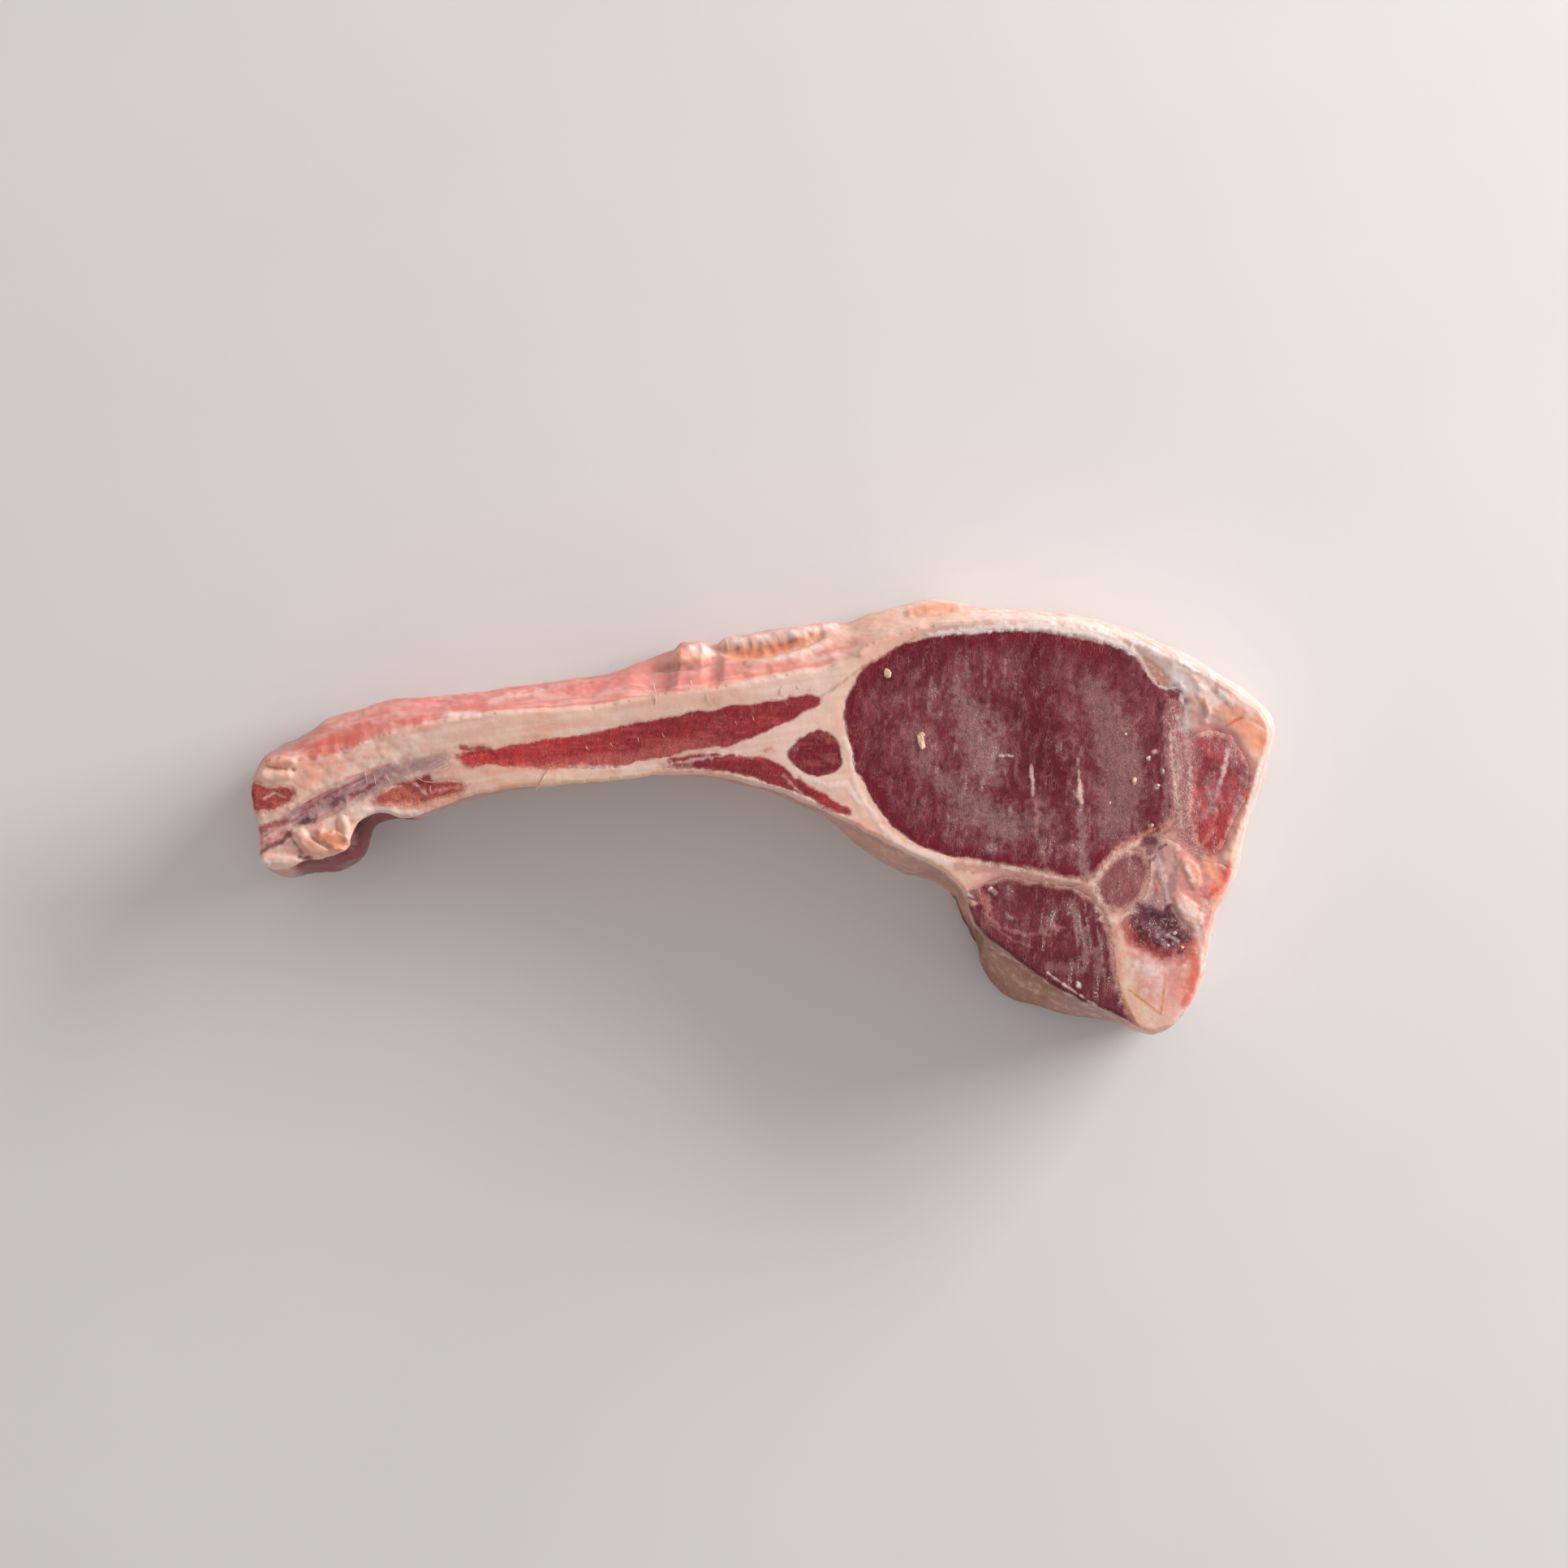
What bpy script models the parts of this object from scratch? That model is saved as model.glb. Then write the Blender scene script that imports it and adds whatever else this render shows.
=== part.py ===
"""Raw lamb chop, lying on its sawn underside.

The chop is one thick slice across a rack of lamb: a round eye muscle with its fat cap, a long tail of
cover meat from the ribs, and the split vertebra at the foot of the eye. Each muscle, the bone and the
fat that binds them is a solid that runs right through the slice, between its two sawn faces.

Outlines are drawn on the upper sawn face, in millimetres from the middle of the eye muscle, +X away
from the tail and +Y towards the fat cap. They are cut as straight prisms first. Then one rule bends
all of them together: the sides lean, swell and thin towards the tail, and every seam stays a seam.
"""

import bmesh
import bpy
import numpy as np

MM = 0.001

EYE_THICKNESS = 27.0  # between the sawn faces, at the eye muscle
TAIL_THICKNESS = 22.5  # at the thin end of the tail
TAIL_START = -20.0  # X where the slice begins to thin
TAIL_END = -126.0
SURFACE_WAVE = 0.18  # height of each of the two soft waves of the upper face
WAVE_LENGTH = 46.0
WAVE_ONE = (1.0, 0.4, 0.7)  # its share of X, its share of Y and its phase
WAVE_TWO = (-0.5, 1.3, 0.0)

SEAM = 0.3  # gap between neighbouring solids
CUT_PAST = 2.0  # how far a cutter runs past the faces it cuts
SLICE_STEP = 7.5  # spacing of the cuts that let a solid bend
SLICE_SNAP = 0.15  # a corner this near a cut already lies on it
WELD = 0.001  # corners nearer than this are one
CURVE_STEPS = 2  # straight pieces between two outline points
FLAT_ANGLE = 0.002  # radians between faces that count as one flat face
SHARP_ANGLE = 40.0  # degrees past which an edge stays sharp
SIDE_LEVELS = (0.35, 0.65)  # heights of the rings round the side, as a share of the thickness

SIDE_SWELL = 1.3  # how far the outer side bulges past a straight line
SWELL_DEPTH = 6.0  # how far into the slice the bulge is felt

COLLECTION = "raw_lamb_chop"

# The whole slice, clockwise from the tip of the tail.
CHOP_OUTLINE = [
    (-124.7, -2.2), (-119.7, -1.5), (-112.0, -0.2), (-103.3, 2.7), (-97.9, 4.1), (-90.5, 5.4),
    (-81.7, 6.2), (-73.6, 6.6), (-66.8, 7.3), (-60.1, 8.8), (-53.3, 9.7), (-43.9, 10.9),
    (-35.1, 12.6), (-29.0, 13.9), (-25.2, 16.3), (-20.9, 18.4), (-14.2, 20.2), (-6.1, 21.1),
    (2.0, 21.2), (10.1, 20.7), (18.2, 18.8), (26.3, 15.7), (34.4, 11.3), (40.5, 7.3),
    (43.1, 4.7), (43.5, 2.0), (42.1, -3.0), (40.2, -8.8), (38.5, -14.2), (37.3, -19.6),
    (36.3, -23.2), (34.4, -26.7), (33.1, -31.1), (32.4, -35.8), (31.5, -39.6), (29.0, -44.1),
    (25.2, -47.3), (22.0, -47.1), (19.2, -45.2), (13.5, -42.9), (7.4, -39.7), (2.3, -36.3),
    (-1.8, -32.9), (-5.1, -30.2), (-6.5, -27.0), (-7.8, -24.0), (-10.8, -20.8), (-16.9, -17.8),
    (-23.6, -14.3), (-29.0, -11.5), (-35.1, -8.8), (-41.2, -6.6), (-47.9, -5.2), (-54.7, -4.5),
    (-60.1, -4.9), (-68.2, -5.8), (-77.6, -6.6), (-86.4, -7.4), (-91.1, -8.6), (-96.5, -10.4),
    (-100.8, -12.2), (-104.6, -10.9), (-108.0, -11.7), (-109.8, -13.8), (-110.6, -17.1), (-114.1, -18.5),
    (-117.5, -18.9), (-121.5, -20.5), (-125.1, -19.8), (-125.3, -14.5), (-126.5, -9.5), (-127.0, -6.4),
    (-125.7, -4.6),
]

# The muscles, bone and marrow inside it, each clockwise too. One that reaches the side of the slice
# is drawn past it, and the slice's own outline trims it.
EYE_MUSCLE = [
    (-27.3, 5.4), (-26.3, 9.5), (-23.4, 13.5), (-18.5, 16.5), (-12.8, 18.4), (-6.1, 19.0),
    (0.7, 19.1), (7.4, 18.6), (14.2, 17.2), (20.2, 15.4), (22.4, 13.4), (23.8, 10.8),
    (28.2, 9.0), (27.9, 5.4), (27.1, 0.0), (27.3, -8.0), (26.9, -11.6), (25.0, -13.9),
    (20.9, -15.3), (17.1, -17.2), (14.2, -20.4), (11.5, -21.4), (6.1, -20.7), (-0.7, -19.2),
    (-8.8, -18.3), (-15.3, -15.9), (-20.5, -11.7), (-24.2, -6.5), (-26.3, 0.0),
]
ISLAND_MUSCLE = [
    (-30.6, 2.6), (-33.8, 2.0), (-35.8, 0.3), (-37.0, -1.6), (-35.3, -3.4), (-33.1, -4.6),
    (-30.2, -4.8), (-28.4, -3.9), (-28.1, -1.4), (-28.9, 1.2),
]
RIB_MUSCLE = [
    (-30.8, 8.3), (-37.1, 7.8), (-43.9, 7.0), (-50.6, 5.8), (-56.0, 5.2), (-61.4, 3.9),
    (-68.2, 2.4), (-74.9, 1.2), (-81.7, 0.3), (-87.1, -0.7), (-92.2, -2.2), (-87.1, -2.8),
    (-80.3, -3.4), (-73.6, -3.5), (-66.8, -3.1), (-60.1, -2.0), (-53.3, -0.5), (-46.6, 0.5),
    (-39.8, 2.9), (-34.4, 5.5),
]
INNER_MUSCLE = [
    (-57.5, -2.7), (-54.4, -1.9), (-49.3, -1.4), (-43.2, -1.5), (-39.2, -2.7), (-36.2, -5.0),
    (-31.9, -7.1), (-28.2, -9.2), (-25.7, -11.4), (-27.4, -11.2), (-31.7, -9.0), (-37.8, -6.4),
    (-43.9, -4.6), (-50.6, -3.5), (-55.4, -3.4),
]
BACK_MUSCLE = [
    (30.6, 1.1), (33.1, 2.0), (36.0, 1.5), (37.9, -0.5), (39.2, -3.2), (39.0, -6.1),
    (37.6, -9.7), (36.1, -12.8), (34.9, -15.5), (33.6, -17.2), (31.4, -15.9), (29.7, -13.9),
    (29.2, -11.0), (29.3, -7.4), (29.4, -2.7),
]
CHINE_MUSCLE = [
    (-5.4, -23.9), (-3.9, -23.0), (-1.8, -22.3), (2.3, -22.6), (7.4, -23.5), (11.7, -24.6),
    (14.0, -26.4), (15.5, -28.8), (16.4, -32.4), (16.9, -37.1), (17.8, -41.6), (20.0, -47.0),
    (14.2, -46.4), (4.4, -41.4), (-4.8, -34.4), (-8.6, -29.6), (-8.0, -25.7),
]
SPINAL_MUSCLE = [
    (14.9, -23.2), (15.7, -21.3), (18.0, -19.4), (20.7, -18.0), (21.9, -19.4), (22.0, -21.9),
    (21.1, -24.6), (19.0, -26.3), (16.9, -26.0), (15.4, -24.8),
]
VERTEBRA = [
    (25.9, -15.3), (29.3, -17.2), (32.6, -19.2), (37.5, -20.4), (40.5, -25.5), (36.5, -29.5),
    (37.0, -36.0), (36.0, -43.0), (30.0, -51.0), (21.0, -51.0), (19.3, -46.6), (18.6, -41.2),
    (17.9, -36.5), (17.4, -32.2), (17.3, -28.9), (19.3, -27.8), (21.7, -26.0), (23.0, -23.6),
    (23.4, -20.2), (23.6, -17.0),
]
MARROW = [
    (19.6, -29.4), (21.2, -27.4), (23.3, -25.8), (25.6, -25.5), (27.4, -27.0), (28.6, -29.4),
    (30.3, -31.6), (29.6, -34.0), (27.3, -35.2), (24.3, -34.6), (21.4, -32.9), (20.0, -31.3),
]
FLANK_TIP_MUSCLE = [
    (-129.5, -6.7), (-122.9, -6.6), (-119.7, -7.0), (-119.7, -8.6), (-121.9, -10.2), (-124.6, -10.6),
    (-129.0, -10.4),
]
FLANK_SHEET = [
    (-129.0, -15.2), (-124.7, -13.6), (-121.5, -11.7), (-117.5, -9.0), (-112.7, -6.6), (-107.3, -4.3),
    (-101.2, -2.8), (-96.4, -1.8), (-93.6, -3.3), (-97.0, -3.7), (-101.7, -4.9), (-105.7, -6.6),
    (-108.9, -8.5), (-112.5, -10.9), (-116.1, -12.9), (-119.7, -13.2), (-122.4, -15.7), (-128.0, -18.2),
]
FLANK_MUSCLE = [
    (-106.3, -9.2), (-104.6, -7.7), (-101.9, -6.3), (-98.2, -5.5), (-94.5, -5.6), (-90.9, -5.9),
    (-90.5, -6.5), (-94.2, -8.2), (-98.6, -9.4), (-103.1, -9.9),
]

# How far the lower face lies from the upper one, at places round the slice: (x, y, shift x, shift y).
LEAN = [
    (-126.0, -5.0, -0.5, 1.0), (-113.0, -1.0, 0.0, 6.6), (-122.0, -19.0, 0.5, 0.6), (-96.0, 4.0, 0.0, 4.8),
    (-96.0, -9.0, 0.0, 1.6), (-68.0, 7.0, -0.5, 6.2), (-68.0, -6.0, 0.0, 3.0), (-38.0, 12.0, -1.0, 6.6),
    (-38.0, -7.5, 0.0, 1.4), (-18.0, 19.0, -1.0, 3.0), (4.0, 21.0, 0.0, 1.8), (28.0, 15.0, 1.2, 1.8),
    (43.0, 2.0, 2.6, 0.4), (38.0, -18.0, 2.4, -0.4), (31.0, -40.0, 1.2, 0.2), (6.0, -38.0, 0.0, 0.0),
    (-6.0, -29.0, -0.2, -0.6), (-16.0, -18.0, -2.0, -3.2), (0.0, 0.0, 0.4, 0.6),
]
LEAN_REACH = 9.0  # distance over which one place gives way to the next

# Lumps low on the side, past the upper face: the loose lower flap of the fat cap, the foot of the
# chine and the hanging lobes of the tail. Each is (x, y, push x, push y, how far round it is felt).
LUMPS = [
    (-55.0, 10.0, -0.4, 2.4, 6.0), (-44.0, 12.0, -0.4, 1.4, 7.0), (-32.0, 14.5, -0.4, 1.6, 7.0),
    (-20.0, 19.0, -0.8, 1.3, 6.5), (-10.5, 22.0, 0.0, 2.0, 4.5), (1.0, -36.0, -2.0, -5.2, 4.6),
    (8.0, -40.5, -0.2, -3.0, 5.5), (14.5, -43.0, 0.0, -1.4, 5.0), (-117.0, -19.0, 0.2, -3.0, 5.5),
    (-105.5, -12.0, 1.2, -3.6, 4.4),
]
LUMP_HEIGHT = 0.35  # share of the thickness up to which a lump stands out in full
LUMP_TOP = 0.65  # and where it ends

# Node, outline, whether it reaches the side of the slice, and the earlier nodes that it gives way to.
INNER_PIECES = [
    ("eye_muscle", EYE_MUSCLE, False, []),
    ("island_muscle", ISLAND_MUSCLE, False, []),
    ("rib_muscle", RIB_MUSCLE, False, []),
    ("inner_muscle", INNER_MUSCLE, False, []),
    ("back_muscle", BACK_MUSCLE, False, []),
    ("chine_muscle", CHINE_MUSCLE, True, []),
    ("spinal_muscle", SPINAL_MUSCLE, False, []),
    ("vertebra", VERTEBRA, True, ["chine_muscle", "spinal_muscle"]),
    ("flank_tip_muscle", FLANK_TIP_MUSCLE, True, []),
    ("flank_sheet", FLANK_SHEET, True, []),
    ("flank_muscle", FLANK_MUSCLE, False, []),
]

# Base colour and roughness of each solid.
FINISHES = {
    "fat": ((0.72, 0.45, 0.33), 0.5),
    "eye_muscle": ((0.21, 0.05, 0.06), 0.42),
    "island_muscle": ((0.22, 0.04, 0.05), 0.42),
    "rib_muscle": ((0.33, 0.06, 0.06), 0.42),
    "inner_muscle": ((0.24, 0.05, 0.06), 0.42),
    "back_muscle": ((0.34, 0.09, 0.09), 0.42),
    "chine_muscle": ((0.18, 0.05, 0.06), 0.42),
    "spinal_muscle": ((0.20, 0.08, 0.08), 0.42),
    "vertebra": ((0.58, 0.36, 0.27), 0.55),
    "marrow": ((0.20, 0.07, 0.08), 0.5),
    "flank_tip_muscle": ((0.34, 0.09, 0.08), 0.42),
    "flank_sheet": ((0.38, 0.20, 0.18), 0.42),
    "flank_muscle": ((0.38, 0.09, 0.07), 0.42),
}


def clear_scene():
    for old in list(bpy.data.objects):
        bpy.data.objects.remove(old, do_unlink=True)


def new_collection(name, rendered):
    collection = bpy.data.collections.new(name)
    collection.hide_render = not rendered
    bpy.context.scene.collection.children.link(collection)
    return collection


def finish(name):
    colour, roughness = FINISHES[name]
    material = bpy.data.materials.new(name)
    material.use_nodes = True
    shader = material.node_tree.nodes["Principled BSDF"]
    shader.inputs["Base Color"].default_value = (*colour, 1.0)
    shader.inputs["Roughness"].default_value = roughness
    shader.inputs["Metallic"].default_value = 0.0
    return material


def prism(name, outline, low, high, collection, grown=0.0):
    """A smooth closed curve through the outline, filled and raised from low to high, as a closed mesh.

    grown moves the curve outwards by that many millimetres.
    """
    curve = bpy.data.curves.new(name, "CURVE")
    curve.dimensions = "2D"
    curve.fill_mode = "BOTH"
    curve.resolution_u = CURVE_STEPS
    curve.extrude = (high - low) / 2 * MM
    curve.offset = grown * MM
    spline = curve.splines.new("BEZIER")
    spline.bezier_points.add(len(outline) - 1)
    for knot, (x, y) in zip(spline.bezier_points, outline):
        knot.co = (x * MM, y * MM, 0.0)
        knot.handle_left_type = "AUTO"
        knot.handle_right_type = "AUTO"
    spline.use_cyclic_u = True
    drawn = bpy.data.objects.new(name + "_drawn", curve)
    drawn.location.z = (high + low) / 2 * MM
    collection.objects.link(drawn)
    bpy.context.view_layer.update()

    graph = bpy.context.evaluated_depsgraph_get()
    mesh = bpy.data.meshes.new_from_object(drawn.evaluated_get(graph))
    mesh.transform(drawn.matrix_world)
    bpy.data.objects.remove(drawn, do_unlink=True)
    bpy.data.curves.remove(curve)

    solid = bmesh.new()
    solid.from_mesh(mesh)
    bmesh.ops.remove_doubles(solid, verts=solid.verts, dist=WELD * MM)
    bmesh.ops.recalc_face_normals(solid, faces=solid.faces)
    solid.to_mesh(mesh)
    solid.free()
    mesh.name = name
    piece = bpy.data.objects.new(name, mesh)
    collection.objects.link(piece)
    return piece


def helper(name, outline, low, high, collection, grown=0.0):
    """A prism that only cuts or trims."""
    piece = prism(name, outline, low, high, collection, grown)
    piece.hide_render = True
    piece.display_type = "WIRE"
    return piece


def boolean(piece, other, operation):
    """Cuts or trims a piece with another one, and keeps the result as its mesh."""
    modifier = piece.modifiers.new(operation.lower(), "BOOLEAN")
    modifier.operation = operation
    modifier.object = other
    modifier.solver = "EXACT"
    graph = bpy.context.evaluated_depsgraph_get()
    result = bpy.data.meshes.new_from_object(piece.evaluated_get(graph))
    piece.modifiers.clear()
    result.name = piece.name
    piece.data = result


def slice_up(piece):
    """Cuts a straight prism along a square grid and round its side, so that it can bend."""
    solid = bmesh.new()
    solid.from_mesh(piece.data)
    bmesh.ops.dissolve_limit(solid, angle_limit=FLAT_ANGLE, verts=solid.verts, edges=solid.edges)
    low = np.min([v.co for v in solid.verts], axis=0)
    high = np.max([v.co for v in solid.verts], axis=0)
    step = SLICE_STEP * MM
    cuts = []
    for axis in (0, 1):
        first = np.ceil(low[axis] / step) * step
        cuts += [(axis, place) for place in np.arange(first, high[axis], step)]
    cuts += [(2, share * EYE_THICKNESS * MM) for share in SIDE_LEVELS]
    for axis, place in cuts:
        direction = np.eye(3)[axis]
        everything = list(solid.verts) + list(solid.edges) + list(solid.faces)
        bmesh.ops.bisect_plane(
            solid, geom=everything, dist=SLICE_SNAP * MM, plane_co=direction * place, plane_no=direction
        )
    bmesh.ops.triangulate(solid, faces=solid.faces)
    solid.to_mesh(piece.data)
    solid.free()


def outline_run(outline, steps=8):
    """Points along the closed curve through an outline, and the outward direction at each, in mm.

    Between two outline points the curve is the Catmull-Rom cubic of them and their two neighbours.
    """
    knots = np.array(outline)
    before, after, second = np.roll(knots, 1, 0), np.roll(knots, -1, 0), np.roll(knots, -2, 0)
    t = (np.arange(steps) / steps)[None, :, None]
    k0, k1, k2, k3 = (k[:, None, :] for k in (before, knots, after, second))
    run = 0.5 * (
        2 * k1 + (k2 - k0) * t + (2 * k0 - 5 * k1 + 4 * k2 - k3) * t**2 + (3 * k1 - k0 - 3 * k2 + k3) * t**3
    )
    run = run.reshape(-1, 2)
    along = np.roll(run, -1, 0) - np.roll(run, 1, 0)
    along /= np.linalg.norm(along, axis=1, keepdims=True)
    outward = np.stack([-along[:, 1], along[:, 0]], axis=1)
    return run, outward


def thickness_at(x, y):
    """Thickness of the slice: full at the eye, thinner along the tail, with two crossing soft waves."""
    share = np.clip((TAIL_START - x) / (TAIL_START - TAIL_END), 0.0, 1.0)
    eased = share * share * (3 - 2 * share)
    thickness = EYE_THICKNESS + (TAIL_THICKNESS - EYE_THICKNESS) * eased
    for along, across, phase in (WAVE_ONE, WAVE_TWO):
        thickness += SURFACE_WAVE * np.sin(2 * np.pi / WAVE_LENGTH * (along * x + across * y) + phase)
    return thickness


def lean_at(x, y):
    """Shift of the lower face: the LEAN places averaged, each weighing 1 / (distance^2 + reach^2)^2."""
    places = np.array(LEAN)
    squared = (x[:, None] - places[:, 0]) ** 2 + (y[:, None] - places[:, 1]) ** 2
    weight = 1.0 / (squared + LEAN_REACH**2) ** 2
    weight /= weight.sum(axis=1, keepdims=True)
    return weight @ places[:, 2:]


def swell_at(x, y, height):
    """Bulge of the side: a half-sine of the height, along the outline's outward direction, fading inwards."""
    run, outward = outline_run(CHOP_OUTLINE)
    squared = (x[:, None] - run[:, 0]) ** 2 + (y[:, None] - run[:, 1]) ** 2
    nearest = squared.argmin(axis=1)
    distance = np.sqrt(squared.min(axis=1))
    fade = np.clip(1 - distance / SWELL_DEPTH, 0.0, 1.0) ** 2
    return outward[nearest] * (SIDE_SWELL * np.sin(np.pi * height) * fade)[:, None]


def lumps_at(x, y, height):
    """Push of the low lumps: a bell of the distance from each, full low down and none above LUMP_TOP."""
    lumps = np.array(LUMPS)
    squared = (x[:, None] - lumps[:, 0]) ** 2 + (y[:, None] - lumps[:, 1]) ** 2
    bell = np.exp(-squared / lumps[:, 4] ** 2)
    low = np.clip((LUMP_TOP - height) / (LUMP_TOP - LUMP_HEIGHT), 0.0, 1.0)
    return bell @ lumps[:, 2:4] * low[:, None]


def bend(points):
    """Carries points of the straight prisms to their place in the real slice; both in metres."""
    x, y, z = (points / MM).T
    height = z / EYE_THICKNESS
    shift = lean_at(x, y) * (1 - height)[:, None] + swell_at(x, y, height) + lumps_at(x, y, height)
    return np.stack([x + shift[:, 0], y + shift[:, 1], height * thickness_at(x, y)], axis=1) * MM


def move_points(piece, rule):
    points = np.empty(len(piece.data.vertices) * 3)
    piece.data.vertices.foreach_get("co", points)
    piece.data.vertices.foreach_set("co", rule(points.reshape(-1, 3)).ravel())
    piece.data.update()


def stand_on_box_middle(pieces):
    """Moves every piece so that the middle of the whole slice's lower face is the origin."""
    corners = np.array([v.co for piece in pieces for v in piece.data.vertices])
    low, high = corners.min(axis=0), corners.max(axis=0)
    middle = np.array([(low[0] + high[0]) / 2, (low[1] + high[1]) / 2, low[2]])
    for piece in pieces:
        move_points(piece, lambda points: points - middle)


def main():
    clear_scene()
    chop = new_collection(COLLECTION, True)
    tools = new_collection(COLLECTION + "_cutters", False)
    bottom, top = -CUT_PAST, EYE_THICKNESS + CUT_PAST

    whole = helper("whole_slice", CHOP_OUTLINE, 0.0, EYE_THICKNESS, tools)
    fat = prism("fat", CHOP_OUTLINE, 0.0, EYE_THICKNESS, chop)
    pieces = [fat]
    cutters = {}
    for name, outline, at_side, firmer in INNER_PIECES:
        if at_side:
            piece = prism(name, outline, bottom, top, chop)
            boolean(piece, whole, "INTERSECT")
        else:
            piece = prism(name, outline, 0.0, EYE_THICKNESS, chop)
        for neighbour in firmer:
            boolean(piece, cutters[neighbour], "DIFFERENCE")
        cutters[name] = helper(name + "_cutter", outline, bottom, top, tools, SEAM)
        boolean(fat, cutters[name], "DIFFERENCE")
        pieces.append(piece)

    marrow_cutter = helper("marrow_cutter", MARROW, bottom, top, tools, SEAM)
    boolean(bpy.data.objects["vertebra"], marrow_cutter, "DIFFERENCE")
    pieces.append(prism("marrow", MARROW, 0.0, EYE_THICKNESS, chop))

    for piece in pieces:
        slice_up(piece)
        move_points(piece, bend)

    stand_on_box_middle(pieces)
    for piece in pieces:
        piece.data.materials.clear()
        piece.data.materials.append(finish(piece.name))
        piece.data.shade_smooth()
        piece.data.set_sharp_from_angle(angle=np.radians(SHARP_ANGLE))


main()
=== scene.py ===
# %% [markdown]
# # A raw lamb chop on a pale table
# The frame holds the chop as plain solids: one for each muscle, the fat, the bone and the marrow.
# Here each of them gets the surface that a saw and a cold room leave on real meat. Every piece is
# built the same way. First comes a flat region with a fine grid of points, then a rule carries the
# region down through the thickness of the slice, and last a second rule paints it. Because all the
# pieces share both rules, their seams meet without any fitting.

import bpy
import numpy as np
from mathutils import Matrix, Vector


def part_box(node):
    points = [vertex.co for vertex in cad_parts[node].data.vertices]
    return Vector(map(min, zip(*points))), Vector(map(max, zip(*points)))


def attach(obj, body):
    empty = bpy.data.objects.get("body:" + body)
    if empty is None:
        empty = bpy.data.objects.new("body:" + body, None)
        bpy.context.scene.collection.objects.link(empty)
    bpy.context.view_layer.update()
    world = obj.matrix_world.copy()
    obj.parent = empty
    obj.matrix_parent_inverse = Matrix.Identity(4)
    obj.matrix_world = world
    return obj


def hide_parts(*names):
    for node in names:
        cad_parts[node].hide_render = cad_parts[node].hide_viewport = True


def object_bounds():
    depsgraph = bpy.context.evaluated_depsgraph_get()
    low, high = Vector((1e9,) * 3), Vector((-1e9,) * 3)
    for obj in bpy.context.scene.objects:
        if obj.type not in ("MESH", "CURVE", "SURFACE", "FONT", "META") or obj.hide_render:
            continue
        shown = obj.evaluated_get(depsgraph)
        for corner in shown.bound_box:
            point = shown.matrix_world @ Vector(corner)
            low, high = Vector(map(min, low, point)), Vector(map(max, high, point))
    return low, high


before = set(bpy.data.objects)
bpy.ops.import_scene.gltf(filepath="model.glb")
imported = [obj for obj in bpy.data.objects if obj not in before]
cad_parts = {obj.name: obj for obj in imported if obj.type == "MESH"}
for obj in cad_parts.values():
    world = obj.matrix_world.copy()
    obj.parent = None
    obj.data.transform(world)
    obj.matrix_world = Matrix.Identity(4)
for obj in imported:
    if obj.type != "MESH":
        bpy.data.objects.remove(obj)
MM = 0.001
CAD_BOX = np.array(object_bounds())
NODES = sorted(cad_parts)
print("frame:", len(NODES), "nodes,", np.round((CAD_BOX[1] - CAD_BOX[0]) / MM, 1), "mm")

# %% [markdown]
# ## Places on the chop
# All sizes below are in millimetres. Places are given as a butcher would: from the middle of the
# eye muscle's upper face, along the chop and across it. The solid's box is a little off that middle
# because its sides lean, so the small shift is taken away first. The middle is added back when a
# mesh is made, so nothing else has to know where the frame puts the chop.

# %% Places
EYE_BOX = np.array(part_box("eye_muscle")) / MM
LEAN_SHIFT = np.array([-0.67, -0.55])
EYE_MIDDLE = EYE_BOX.mean(axis=0)[:2] + LEAN_SHIFT
TOP_HEIGHT = CAD_BOX[1][2] / MM
print("eye muscle's middle:", np.round(EYE_MIDDLE, 2), "upper face at", round(TOP_HEIGHT, 1), "mm")

# %% [markdown]
# ## Noise
# Nothing on meat is even, so almost every rule below is shaken by noise. This is lattice noise: each
# whole-number corner gets a random value from a hash of its coordinates, and points between corners
# get a smooth mix. It gives the same answer each run, because the hash has no state.

# %% Noise
AXIS_FACTORS = np.array([73856093, 19349663, 83492791], dtype=np.uint32)
SEED_FACTOR = 2654435
SEED_START = 12345
MIX_SHIFTS = np.array([15, 13, 16], dtype=np.uint32)
MIX_FACTORS = np.array([2246822519, 3266489917], dtype=np.uint32)
HALF_RANGE = 2.0**31
SEED_STEP = 17
LAYER_GAIN = 1.4


def lattice_value(corner, seed):
    """Random value in -1..1 at whole-number corners: a hash that mixes the coordinates and the seed."""
    mixed = np.full(corner.shape[:-1], seed * SEED_FACTOR + SEED_START, dtype=np.uint32)
    for axis in range(corner.shape[-1]):
        mixed ^= corner[..., axis].astype(np.int64).astype(np.uint32) * AXIS_FACTORS[axis]
        mixed = (mixed ^ (mixed >> MIX_SHIFTS[0])) * MIX_FACTORS[0]
    mixed = (mixed ^ (mixed >> MIX_SHIFTS[1])) * MIX_FACTORS[1]
    mixed ^= mixed >> MIX_SHIFTS[2]
    return mixed / HALF_RANGE - 1.0


def noise(seed, *coords):
    """Smooth noise in -1..1: the values of a cell's corners, mixed by 6t^5 - 15t^4 + 10t^3 each way."""
    points = np.stack(np.broadcast_arrays(*coords), axis=-1).astype(float)
    cell = np.floor(points)
    part = points - cell
    mix = part**3 * (part * (part * 6 - 15) + 10)
    total = 0.0
    axes = points.shape[-1]
    for corner in range(2**axes):
        step = np.array([(corner >> axis) & 1 for axis in range(axes)])
        weight = np.prod(np.where(step == 1, mix, 1 - mix), axis=-1)
        total = total + weight * lattice_value(cell + step, seed)
    return total


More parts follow.
